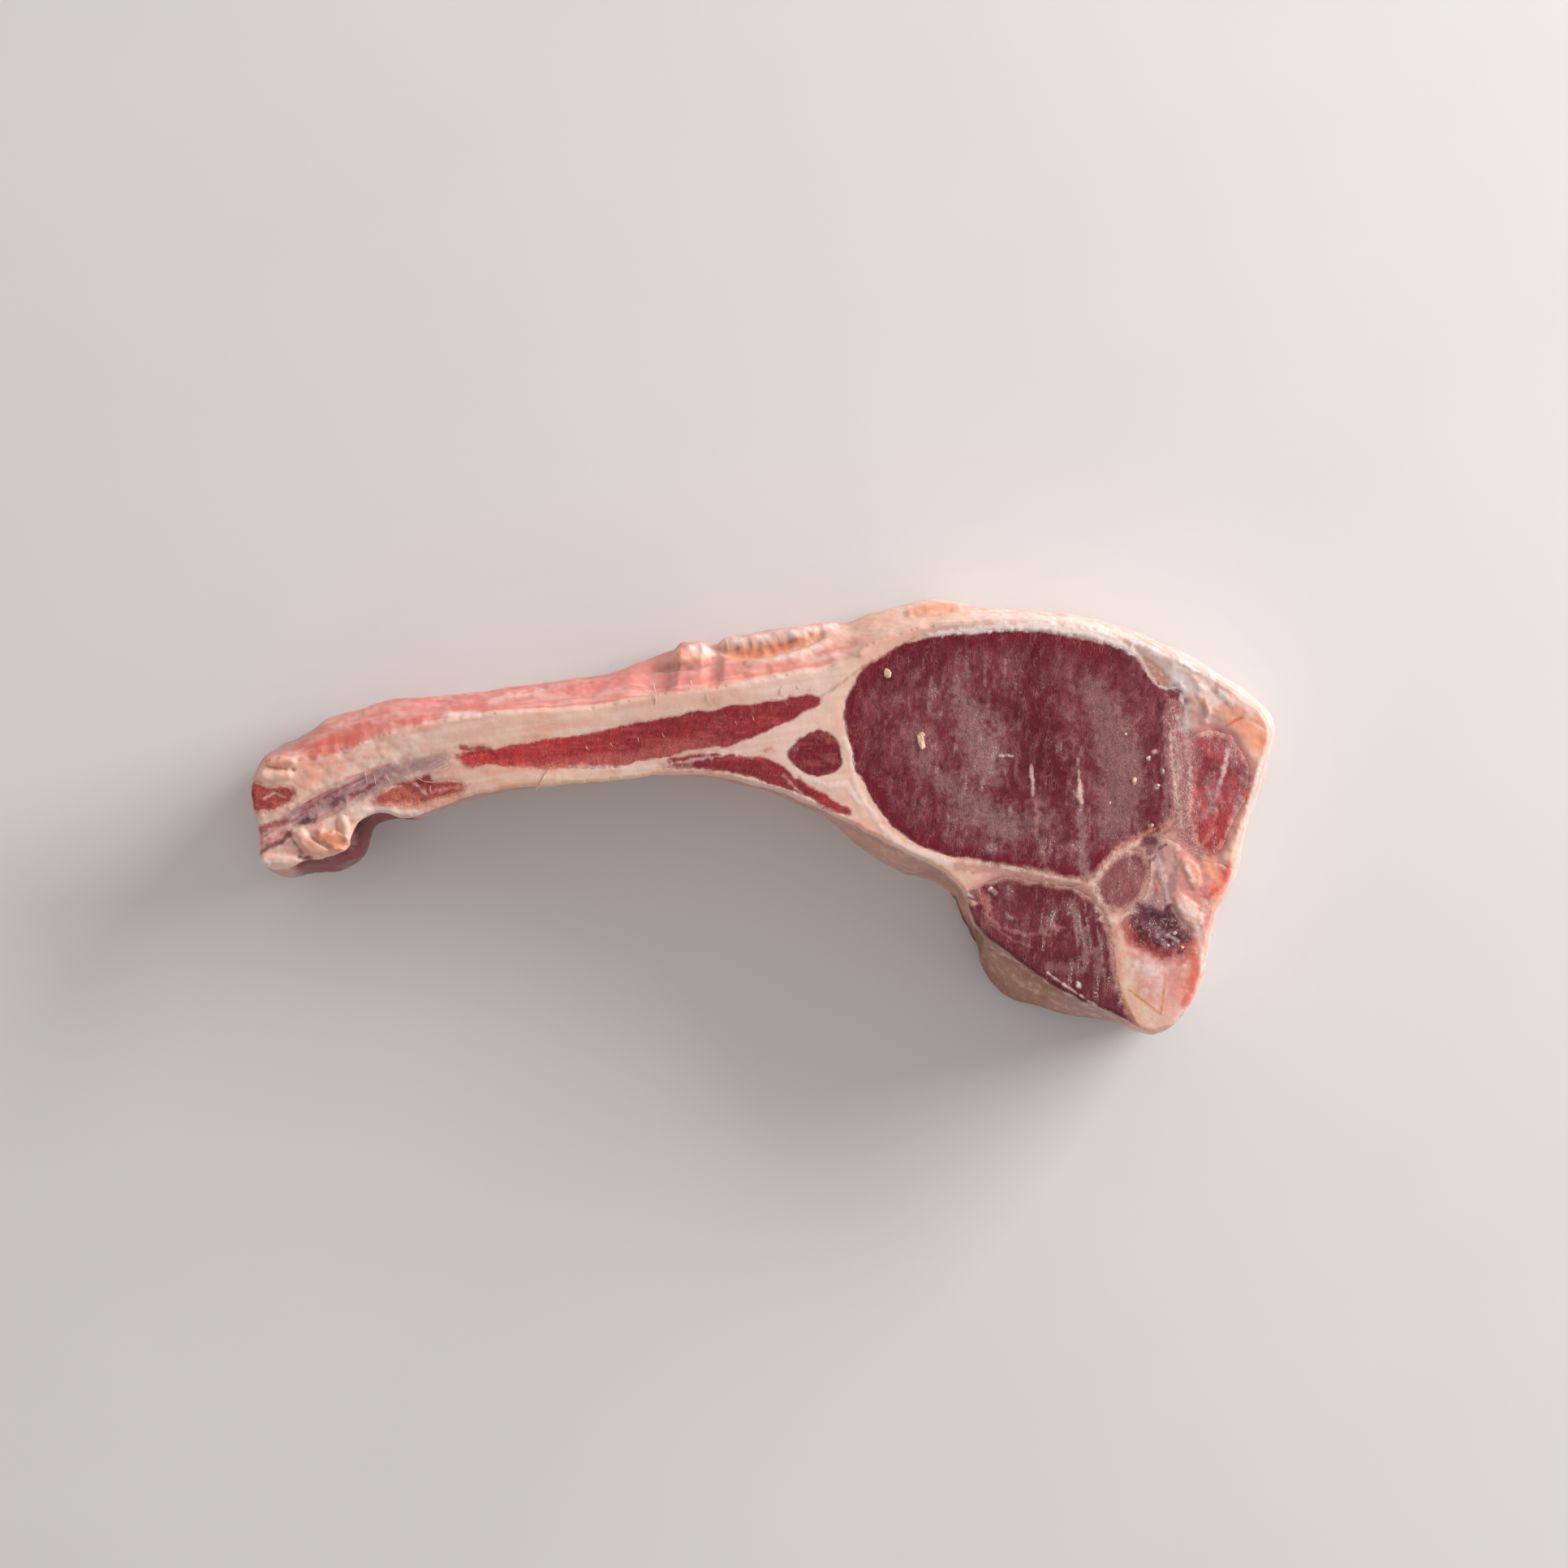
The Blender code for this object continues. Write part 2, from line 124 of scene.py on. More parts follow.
def layered(seed, octaves, *coords):
    """Sum of octaves of noise, each twice as fine and half as strong, scaled back to about -1..1."""
    total = 0
    for k in range(octaves):
        total = total + noise(seed + SEED_STEP * k, *(c * 2**k for c in coords)) / 2**k
    return total / (2 - 2.0 ** (1 - octaves)) * LAYER_GAIN


def ramp(value, start, end):
    """0 up to start, 1 past end, and the smooth 3t^2 - 2t^3 between them; start may be the larger."""
    t = np.clip((value - start) / (end - start), 0.0, 1.0)
    return t * t * (3 - 2 * t)


def turned(x, y, degrees):
    """The coordinates after the axes turn by an angle: across and along a slanted grain."""
    angle = np.radians(degrees)
    return x * np.cos(angle) + y * np.sin(angle), -x * np.sin(angle) + y * np.cos(angle)


print("noise at one place:", np.round(layered(1, 4, np.array([0.3]), np.array([1.7])), 3))

# %% [markdown]
# ## Reading the solids
# The new surfaces have to follow the solids, so their outlines are read from the frame. A solid is a
# heap of loose triangles, so equal corners are made one first. The outline of a face is then every
# edge that only one of its triangles has. Lower down, the outline is where a level plane crosses
# the triangles. Either way it comes out as separate short segments, and no order is needed.

# %% Outlines of the solids
LEVEL_ENOUGH = 0.9
MIDDLE_LEVELS = (9.0, 16.0)


def welded(node):
    """Corners, in mm from the eye's middle, and triangles of a solid, with equal corners made one."""
    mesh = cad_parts[node].data
    mesh.calc_loop_triangles()
    points = np.empty(len(mesh.vertices) * 3)
    mesh.vertices.foreach_get("co", points)
    triangles = np.empty(len(mesh.loop_triangles) * 3, dtype=np.int64)
    mesh.loop_triangles.foreach_get("vertices", triangles)
    corners, index = np.unique(np.round(points.reshape(-1, 3) / MM, 3), axis=0, return_inverse=True)
    corners[:, :2] -= EYE_MIDDLE
    return corners, index.reshape(-1)[triangles].reshape(-1, 3)


def face_outline(corners, triangles, upward):
    """Segments (n, 2, 3) round the level face that looks up or down: edges with one such triangle."""
    a, b, c = (corners[triangles[:, k]] for k in range(3))
    normal = np.cross(b - a, c - a)
    normal /= np.linalg.norm(normal, axis=1, keepdims=True) + 1e-12
    level = normal[:, 2] * upward > LEVEL_ENOUGH
    ends = triangles[level][:, [0, 1, 1, 2, 2, 0]].reshape(-1, 2)
    _, first, count = np.unique(np.sort(ends, axis=1), axis=0, return_index=True, return_counts=True)
    return corners[ends[first[count == 1]]]


def plane_outline(corners, triangles, height):
    """Segments where the triangles cross a level plane: each crossed edge gives one end by its ratio."""
    a = corners[triangles]
    b = corners[np.roll(triangles, -1, axis=1)]
    crossed = (a[:, :, 2] > height) != (b[:, :, 2] > height)
    cut = crossed.sum(axis=1) == 2
    a, b, crossed = a[cut], b[cut], crossed[cut]
    share = (height - a[:, :, 2:]) / np.where(crossed[:, :, None], b[:, :, 2:] - a[:, :, 2:], 1.0)
    return (a + (b - a) * share)[crossed].reshape(-1, 2, 3)


solids = {node: welded(node) for node in NODES}
outlines = {"top": {n: face_outline(*solids[n], 1) for n in NODES}}
outlines["bottom"] = {n: face_outline(*solids[n], -1) for n in NODES}
for height in MIDDLE_LEVELS:
    outlines[height] = {n: plane_outline(*solids[n], height) for n in NODES}
print("outline segments:", {level: sum(map(len, found.values())) for level, found in outlines.items()})

# %% [markdown]
# ## Distance maps
# A distance map says, for every point of a grid, how far the nearest outline is, and whether the
# point is inside, where the distance is negative. Such a map is handy for organic shapes. It can be
# blurred to round off facets, shaken by noise, grown by adding a number, and joined by taking the
# smaller of two. Its zero line is the outline again.

# %% Distance maps
MAP_STEP = 0.5
MARGIN = 9.0
REACH = 9.0
GROUP = 12
MAP_LOW = CAD_BOX[0][:2] / MM - EYE_MIDDLE - MARGIN
MAP_SIZE = np.ceil((CAD_BOX[1] - CAD_BOX[0])[:2] / MM / MAP_STEP + 2 * MARGIN / MAP_STEP).astype(int)
MAP_AXES = [MAP_LOW[k] + MAP_STEP * np.arange(MAP_SIZE[k]) for k in (0, 1)]
MAP_X, MAP_Y = np.meshgrid(*MAP_AXES, indexing="ij")


def outline_map(segments):
    """Signed distance to an outline: least distance to its segments, below 0 where a line to +Y meets
    an odd number of them. Segments are taken in groups by X, and each group fills its own columns."""
    away = np.full(MAP_X.shape, REACH)
    odd = np.zeros(MAP_X.shape, dtype=bool)
    ordered = segments[np.argsort(segments[:, :, 0].mean(axis=1))]
    for some in np.array_split(ordered, max(1, len(segments) // GROUP)):
        (ax, ay), (bx, by) = some[:, 0, :2].T, some[:, 1, :2].T
        span = np.array([some[:, :, 0].min() - REACH, some[:, :, 0].max() + REACH])
        first, last = np.clip(((span - MAP_LOW[0]) / MAP_STEP).astype(int), 0, MAP_SIZE[0])
        px, py = MAP_X[first:last, :, None] - ax, MAP_Y[first:last, :, None] - ay
        ex, ey = bx - ax, by - ay
        along = np.clip((px * ex + py * ey) / (ex**2 + ey**2 + 1e-12), 0.0, 1.0)
        squared = (px - along * ex) ** 2 + (py - along * ey) ** 2
        away[first:last] = np.minimum(away[first:last], np.sqrt(squared.min(axis=2)))
        spans = (px < 0) != (px < ex)
        meets = py < px * ey / np.where(np.abs(ex) < 1e-9, 1e-9, ex)
        odd[first:last] ^= (spans & meets).sum(axis=2) % 2 == 1
    return np.where(odd, -away, away)


def blurred(values, reach):
    """The map after a bell-shaped blur whose reach is given in mm, one axis at a time."""
    width = int(np.ceil(reach / MAP_STEP * 2.5))
    bell = np.exp(-0.5 * (np.arange(-width, width + 1) * MAP_STEP / reach) ** 2)
    bell /= bell.sum()
    for axis in (0, 1):
        padded = np.pad(values, [(width, width) if k == axis else (0, 0) for k in (0, 1)], mode="edge")
        size = values.shape[axis]
        values = sum(w * np.take(padded, np.arange(k, k + size), axis=axis) for k, w in enumerate(bell))
    return values


def read_map(values, x, y):
    """A map's value between its points: the mix of the four nearest by how near they are."""
    gx = np.clip((x - MAP_LOW[0]) / MAP_STEP, 0, MAP_SIZE[0] - 1.001)
    gy = np.clip((y - MAP_LOW[1]) / MAP_STEP, 0, MAP_SIZE[1] - 1.001)
    i, j = gx.astype(int), gy.astype(int)
    fx, fy = gx - i, gy - j
    low = values[i, j] * (1 - fy) + values[i, j + 1] * fy
    high = values[i + 1, j] * (1 - fy) + values[i + 1, j + 1] * fy
    return low * (1 - fx) + high * fx


node_map = {node: outline_map(outlines["top"][node]) for node in NODES}
print("map:", tuple(MAP_SIZE), "points, one for each of", len(node_map), "nodes")

# %% [markdown]
# The whole slice also needs a map at each level, to guide its outer side. The solids stand 0.3 mm
# apart, so joining their maps leaves thin cracks. An edge belongs to the outer side if the ground
# just past it is clear of every solid; the map is made from those edges alone, and a crack counts
# as inside.

# %% The slice's own outline at each level
CRACK = 0.3
LOOK_PAST = 0.5
ROUNDING = 0.7


def slice_map(level):
    """Signed distance to the outer side of the whole slice at one level, blurred to round its facets."""
    segments = np.concatenate(list(outlines[level].values()))
    joined = outline_map(segments)
    edges = segments[:, :, :2]
    middle = edges.mean(axis=1)
    along = edges[:, 1] - edges[:, 0]
    length = np.linalg.norm(along, axis=1)[:, None] + 1e-9
    across = np.stack([-along[:, 1], along[:, 0]], axis=1) / length
    past = [read_map(joined, *(middle + side * LOOK_PAST * across).T) for side in (-1, 1)]
    outer = np.maximum(*past) > CRACK
    away = np.abs(outline_map(edges[outer]))
    inside = (joined < 0) | ((joined < CRACK) & (away > CRACK))
    return blurred(np.where(inside, -away, away), ROUNDING), edges[outer]


whole, top_edges = slice_map("top")
lower_maps = {0.0: slice_map("bottom")[0]}
for height in MIDDLE_LEVELS:
    lower_maps[height] = slice_map(height)[0]
print("outer side:", len(top_edges), "edges, inside area", int((whole < 0).sum() * MAP_STEP**2), "mm2")

# %% [markdown]
# ## Which piece a point belongs to
# The solids leave a crack between neighbours, but on real meat a membrane closes it. So every point
# is given to the node whose outline it is deepest in, or nearest to. For one node that is a map
# again: its own distance less the least distance of all the others, halved. The seams come out in
# the middle of the cracks, and neighbours share them exactly. Reading the maps at shaken places
# makes all seams wander together, as the edge of a real muscle does.

# %% Seams
SEAM_ROUNDING = 0.55
SIDE_ROUNDING = 0.4
WANDER = 0.34
FRAY = 0.13
LET_OUT = {"eye_muscle": 0.9, "spinal_muscle": 1.2, "chine_muscle": 0.8, "back_muscle": 1.0, "marrow": 0.6}

soft_map = {node: blurred(values, SEAM_ROUNDING) for node, values in node_map.items()}
soft_whole = blurred(whole, SIDE_ROUNDING)


def shaken(x, y):
    """Places moved by slow noise, WANDER mm, and by quick noise, FRAY mm."""
    slow = [noise(11 + k, x / 3.1, y / 3.1) * WANDER for k in (0, 1)]
    quick = [noise(15 + k, x / 0.8, y / 0.8) * FRAY for k in (0, 1)]
    return x + slow[0] + quick[0], y + slow[1] + quick[1]


def smeared(x, y):
    """1 where the saw has dragged fat over the seams, right of the eye and below it; 0 elsewhere."""
    right = ramp(x, 19, 23) * ramp(y, 11, 7)
    foot = ramp(x, -12, 2) * ramp(y, -14, -18)
    return np.clip(right + foot, 0.0, 1.0)


def seam_distances(x, y):
    """For each node, half of its own distance less the least of the others: below 0 inside it.

    Lean pieces are let out by LET_OUT mm where seams are smeared thin, so their own distance shrinks.
    """
    shaken_x, shaken_y = shaken(x, y)
    thin = smeared(x, y)
    own = np.stack([read_map(soft_map[n], shaken_x, shaken_y) - thin * LET_OUT.get(n, 0.0) for n in NODES])
    nearest, second = np.sort(own, axis=0)[:2]
    rival = np.where(own <= nearest, second, nearest)
    return dict(zip(NODES, (own - rival) / 2))


def edge_distance(x, y):
    """Distance to the slice's outer side, below 0 inside, with a little roughness of the cut."""
    rough = noise(21, x / 1.7, y / 1.7) * 0.16 + noise(22, x / 0.7, y / 0.7) * 0.05
    return read_map(soft_whole, x, y) + rough


print("seams wander by", WANDER, "mm and fray by", FRAY, "mm")

# %% [markdown]
# ## How the sides lean
# The saw did not cut square, so the underside lies a few millimetres away from the face above it.
# At the outer side the shift is known: it is the way from the upper outline to the lower one. A
# point inside takes a mean of the shifts round the edge, where near ones count for far more. One
# pair of maps for each level holds that, and all pieces read it, so that their seams lean together.

# %% Lean
EDGE_SAMPLES = 260
NEAR_POWER = 3.0
LEAN_ROUNDING = 1.2


def toward_outline(values, x, y, steps=6):
    """Points moved along the map's slope until they reach its zero line: p - distance * slope."""
    for _ in range(steps):
        d = MAP_STEP
        slope_x = (read_map(values, x + d, y) - read_map(values, x - d, y)) / (2 * d)
        slope_y = (read_map(values, x, y + d) - read_map(values, x, y - d)) / (2 * d)
        size = np.maximum(slope_x**2 + slope_y**2, 0.2)
        away = read_map(values, x, y)
        x, y = x - away * slope_x / size, y - away * slope_y / size
    return x, y


def spread_inwards(known_x, known_y, values):
    """Mean of known values at every point of the map, weighted by 1 / distance to a power."""
    near = (MAP_X[:, :, None] - known_x) ** 2 + (MAP_Y[:, :, None] - known_y) ** 2 + 0.05
    weight = near ** (-NEAR_POWER / 2)
    total = weight.sum(axis=2)
    return [(weight * value).sum(axis=2) / total for value in values]


edge_points = top_edges.mean(axis=1)
samples = min(EDGE_SAMPLES, len(edge_points))
edge_points = edge_points[np.linspace(0, len(edge_points) - 1, samples).astype(int)]
edge_x, edge_y = toward_outline(soft_whole, *edge_points.T)
lean = {}
for height, values in lower_maps.items():
    to_x, to_y = toward_outline(blurred(values, SIDE_ROUNDING), edge_x, edge_y)
    shifts = spread_inwards(edge_x, edge_y, (to_x - edge_x, to_y - edge_y))
    lean[height] = [blurred(shift, LEAN_ROUNDING) for shift in shifts]
print("lean of the underside:", np.round(np.hypot(*lean[0.0]).max(), 1), "mm at most")

# %% [markdown]
# ## The height of the upper face
# The solids' upper corners give the general height, as a mean of the nearest ones. They are thinned
# first, because along the outlines they lie very close together.

# %% Height of the upper face
KNOWN_SPACING = 2.0
HEIGHT_ROUNDING = 1.5
known = np.concatenate([outline.reshape(-1, 3) for outline in outlines["top"].values()])
pick = np.unique(np.round(known[:, :2] / KNOWN_SPACING), axis=0, return_index=True)[1]
known_x, known_y, known_height = known[pick].T
base_height = blurred(spread_inwards(known_x, known_y, [known_height])[0], HEIGHT_ROUNDING)
print("upper face:", len(pick), "corners, at", np.round(np.quantile(known_height, (0, 1)), 1), "mm")

# %% [markdown]
# ## Marks
# Everything that is given one by one, such as a vein, a smear of fat or a dark patch, is a chain of
# round dabs joined up, each with its own radius. One rule gives a chain's weight at any point: full
# inside, nothing outside, soft between, with an edge that noise frays. What a mark is, a line, a
# smear or a lump, says how soft and frayed its edge is, and how far it stands up or sinks. In the
# lists below, a mark is its kind and tone, its strength, and then the x, y and radius of each dab.

# %% Marks
FRAY_SIZE = 0.7
FINE_FRAY = 3
MARK_KINDS = {  # softness of the edge, fraying of the edge and rise, in mm
    "line": (0.15, 0.13, 0.02), "flake": (0.12, 0.15, 0.06), "haze": (1.7, 1.1, 0.0),
    "smear": (0.35, 0.4, 0.03), "patch": (0.6, 0.5, 0.0), "crease": (0.15, 0.12, -0.07),
    "gash": (0.25, 0.2, -0.4), "pit": (0.35, 0.35, -0.08), "seam": (0.25, 0.25, 0.06),
    "rim": (0.2, 0.3, 0.12), "lump": (0.5, 0.25, 0.25), "knob": (0.4, 0.3, 0.95),
    "lip": (0.5, 0.0, 0.7), "hollow": (0.9, 0.0, -1.6),
}


def chain_weight(x, y, dabs, soft, fray):
    """1 inside a chain of dabs x, y, radius, 0 outside: from the distance to it less the radius."""
    route = np.array(dabs, dtype=float).reshape(-1, 3)
    reach = route[:, 2].max() + soft + 2 * fray
    low, high = route[:, :2].min(axis=0) - reach, route[:, :2].max(axis=0) + reach
    near = (x > low[0]) & (x < high[0]) & (y > low[1]) & (y < high[1])
    weight = np.zeros(x.shape)
    if not near.any():
        return weight
    px, py = x[near], y[near]
    least = np.full(px.shape, np.inf)
    ends = route if len(route) > 1 else np.repeat(route, 2, axis=0)
    for (ax, ay, ar), (bx, by, br) in zip(ends[:-1], ends[1:]):
        ex, ey = bx - ax, by - ay
        along = np.clip(((px - ax) * ex + (py - ay) * ey) / (ex**2 + ey**2 + 1e-9), 0.0, 1.0)
        away = np.hypot(px - ax - along * ex, py - ay - along * ey) - ar - along * (br - ar)
        least = np.minimum(least, away)
    frayed = noise(31, px / FRAY_SIZE, py / FRAY_SIZE) + 0.5 * noise(32, px * FINE_FRAY, py * FINE_FRAY)
    weight[near] = ramp(least + fray * frayed, soft, -soft)
    return weight


def marks_at(marks, x, y):
    """Each mark's tone, strength, rise and weight at the points it reaches."""
    for label, strength, *dabs in marks:
        kind, name = label.split(" ", 1)
        soft, fray, rise = MARK_KINDS[kind]
        weight = chain_weight(x, y, dabs, soft, fray)
        if weight.any():
            yield name, strength, rise, weight


print(len(MARK_KINDS), "kinds of mark")

# %% [markdown]
# The eye muscle: a dark red belt of clean fibres, greyish haze where frost has dulled the cut, pale
# streaks that the saw drew, a few branching veins, and flakes of fat from the blade.

# %% Marks on the eye muscle
EYE_MARKS = [
    ("haze eye deep", 0.55, 2.3, 10.1, 2.4, 5.4, 2, 3.5, 6.1, -4.1, 3),
    ("haze frost", 0.4, -8.8, 9.5, 1.1, -6.6, 4.1, 2.7, -4.1, -3.4, 2.2),
    ("haze frost", 0.34, 13.5, 9.5, 1.9, 17.1, 2.7, 3.5, 18.9, -5.4, 3.8, 16.9, -13.5, 2.7),
    ("haze frost", 0.3, -8.8, -9.5, 1.1, -0.7, -13.5, 1.9, 6.1, -12.2, 1.4),
    ("haze frost", 0.25, -15.5, 2.7, 1.1, -14.2, -4.1, 1.4),
    ("haze frost", 0.3, -18.8, 7.8, 0.9),
    ("haze frost", 0.28, -10.8, -5.4, 1.6, -1.4, -12.8, 1.9),
    ("haze frost", 0.32, -2.8, 5.4, 0.5, -2.6, -5.4, 0.6),
    ("line eye pink", 0.75, -4.3, 13.8, 0.16, -4.2, 10, 0.16),
    ("line eye pink", 0.7, -0.9, 14.6, 0.16, -0.8, 11.5, 0.14),
    ("line eye pink", 0.6, -17, 8.1, 0.14, -16.7, 5.4, 0.16),
    ("line fleck", 0.75, 3.4, -2.8, 0.14, 3.6, -4.9, 0.3, 3.8, -8, 0.16),
    ("smear eye pink", 0.65, 4.1, -8.9, 0.41, 4.5, -11.9, 0.5, 4.2, -14.6, 0.41),
    ("smear eye pink", 0.45, 5, -16.2, 0.27, 6.1, -20.9, 0.41),
    ("patch dark", 0.5, 9.9, -8.6, 0.5, 11.2, -9.7, 0.9, 12.6, -9.5, 0.5),
    ("patch grey", 0.55, 11.7, -10.1, 0.41, 12, -15.5, 0.5, 12.3, -21.5, 0.7),
    ("flake sinew", 0.95, 11.2, -1.4, 0.11, 11.3, -4.1, 0.19, 11.5, -6.5, 0.27, 11.5, -8.1, 0.5, 11.7, -9,
     0.35),
    ("line eye pink", 0.7, 13.1, -9.9, 0.14, 13.2, -14.2, 0.14),
    ("line frost", 0.7, 27.1, -4.2, 0.19, 27.4, -9.3, 0.19),
    ("line eye pink", 0.55, 21.9, 5.3, 0.16, 20.1, 3.4, 0.18, 17.7, 2.4, 0.14),
    ("line eye pink", 0.5, 21.1, 1.9, 0.14, 19.7, -2.3, 0.14),
    ("line eye pink", 0.4, 8.9, 1.1, 0.2, 10, 1.6, 0.2, 10.8, 0.5, 0.2, 10.1, -0.8, 0.2),
    ("seam fleck", 0.6, 23.9, -0.8, 0.35),
    ("flake fleck", 0.85, 23, -1.9, 0.38),
    ("flake fleck", 0.95, 20.5, -5.5, 0.4, 20.7, -6.1, 0.3),
    ("seam fleck", 0.7, 25.4, -4.1, 0.27),
    ("seam fleck", 0.7, 24.4, -6.5, 0.27),
    ("flake fleck", 0.8, 23.5, -13.1, 0.3),
    ("flake fleck", 0.9, -1.8, -1.5, 0.19, -0.7, -1.4, 0.14, 0.3, -1.6, 0.19),
    ("patch grey", 0.4, 25.9, 5.4, 0.5, 26.3, -5.4, 0.7, 25.8, -12.2, 0.41),
    ("line dark", 0.55, 25.2, 4.1, 0.14, 25.5, -2.7, 0.16),
    ("line dark", 0.5, 26.3, -5.4, 0.14, 26.5, -11.5, 0.16),
    ("pit dark", 0.6, 27.4, 10, 0.41, 28.5, 8.6, 0.7),
]
print(len(EYE_MARKS), "marks on the eye muscle")

# %% [markdown]
# The seams: white membrane and fat squeezed between the muscles, thickest over the eye's upper edge
# and along its foot, where three seams meet. At the eye's upper right corner a glassy brown sinew
# shows its ribs.

# %% Marks on the seams
SEAM_MARKS = [
    ("rim white", 0.85, -13.5, 18.6, 0.27, -7.2, 19.4, 0.5, -0.7, 20, 0.6, 6.1, 20, 0.7, 12.8, 19, 0.8, 17.7,
     17.4, 0.8, 20.4, 15.8, 0.5),
    ("rim fleck", 0.5, -0.7, 19.7, 0.22, 6.1, 19.6, 0.27, 12.8, 18.6, 0.35, 17.7, 17, 0.35),
    ("seam white", 0.55, -27.9, 1.6, 0.22, -26.6, -1.1, 0.32, -26.3, -4.2, 0.35, -25.4, -6.9, 0.32, -23.9,
     -9.7, 0.38, -21.6, -13.2, 0.41),
    ("seam white", 0.65, -21.6, -13.2, 0.41, -18.5, -16.3, 0.5, -15.4, -17.6, 0.5, -12.3, -18.4, 0.5, -8.8,
     -19.7, 0.7),
    ("smear seam", 0.75, -8.8, -19.7, 0.7, -3.4, -20.4, 0.7, 2, -21.3, 0.7, 7.4, -22.3, 0.7, 13.1, -23.2,
     0.7),
    ("seam sinew", 0.7, -7.4, -19.2, 0.24, -2.3, -19.7, 0.27, 2.3, -20.7, 0.27, 7.4, -21.7, 0.22, 12.8, -22.8,
     0.22),
    ("crease brown", 0.6, 6.1, -23, 0.11, 9.9, -23.1, 0.12, 13.5, -22.4, 0.11),
    ("seam sinew", 0.8, 13.1, -23, 0.41, 14.6, -21.6, 0.5, 16.1, -19.4, 0.41, 17.3, -18, 0.41, 19.3, -16.9,
     0.5, 21.5, -15.7, 0.41),
    ("smear pink", 0.55, 15, -20, 0.32, 18.8, -16.2, 0.41, 23.2, -14, 0.41, 26.3, -12.7, 0.32),
    ("smear sinew", 0.6, 13.9, -23.2, 0.5, 15.3, -25.9, 0.5, 16.6, -28.6, 0.5),
    ("seam sinew", 0.7, 16.3, -28.9, 0.6, 18.2, -28.4, 0.41, 20.4, -27.3, 0.27, 22.3, -25.8, 0.24, 24.4,
     -23.2, 0.22),
    ("seam white", 0.6, 14.9, -28.6, 0.41, 17.1, -29.2, 0.5),
    ("patch veil", 0.92, 26.9, 6.5, 0.9, 27.7, 2, 1.6, 28.4, -3.4, 2, 28.6, -9.5, 2, 29.3, -14.9, 1.6, 31.5,
     -17.8, 0.9),
    ("patch veil", 0.6, 26.3, 8.1, 0.7, 28.8, 5.4, 1.1),
    ("smear white", 0.45, 27.7, 4.9, 0.41, 29, 2, 0.5, 29.3, 6.8, 0.5),
    ("line sinew", 0.7, 26.5, 4.1, 0.16, 26.9, -1.4, 0.19, 27.5, -8.8, 0.22),
    ("smear sinew", 0.45, 27.3, 2.7, 0.27, 27.9, -2.7, 0.27, 27.7, -8.8, 0.32, 28.5, -13.5, 0.27),
    ("smear sinew", 0.4, 29.3, 2, 0.41, 29.8, -2.7, 0.32, 29.8, -7.4, 0.27, 29.6, -11.5, 0.27),
    ("patch eye pink", 0.5, 28.5, -5.4, 0.27, 28.8, -10.8, 0.32, 30.4, -14.9, 0.41),
    ("pit sinew brown", 0.85, 22.8, 14.3, 0.8, 24.2, 12.4, 1.1, 25.5, 11.1, 1.1),
    ("flake fleck", 0.75, 21.2, 15.4, 0.16, 22.1, 14, 0.16, 23.1, 11.9, 0.16, 24.2, 10.4, 0.19, 26.1, 9.7,
     0.18, 27.7, 9.9, 0.16),
    ("flake fleck", 0.5, 22.1, 15.4, 0.08, 23.5, 14.6, 0.09, 24.4, 13.6, 0.08),
    ("flake fleck", 0.5, 22.5, 13.9, 0.07, 23.8, 13.4, 0.08, 25, 12.3, 0.08),
    ("flake fleck", 0.5, 23.2, 12.7, 0.07, 24.4, 12.4, 0.08, 25.8, 11.7, 0.08),
    ("flake fleck", 0.45, 23.8, 11.5, 0.07, 25.1, 11.5, 0.08, 26.6, 10.8, 0.08),
]
print(len(SEAM_MARKS), "marks on the seams")

# %% [markdown]
# The foot of the chop: the chine muscle with its saw streaks, then the split bone, with lilac
# gristle round its joint, dark marrow, cream fat on its outside and a wedge of spine at the tip.

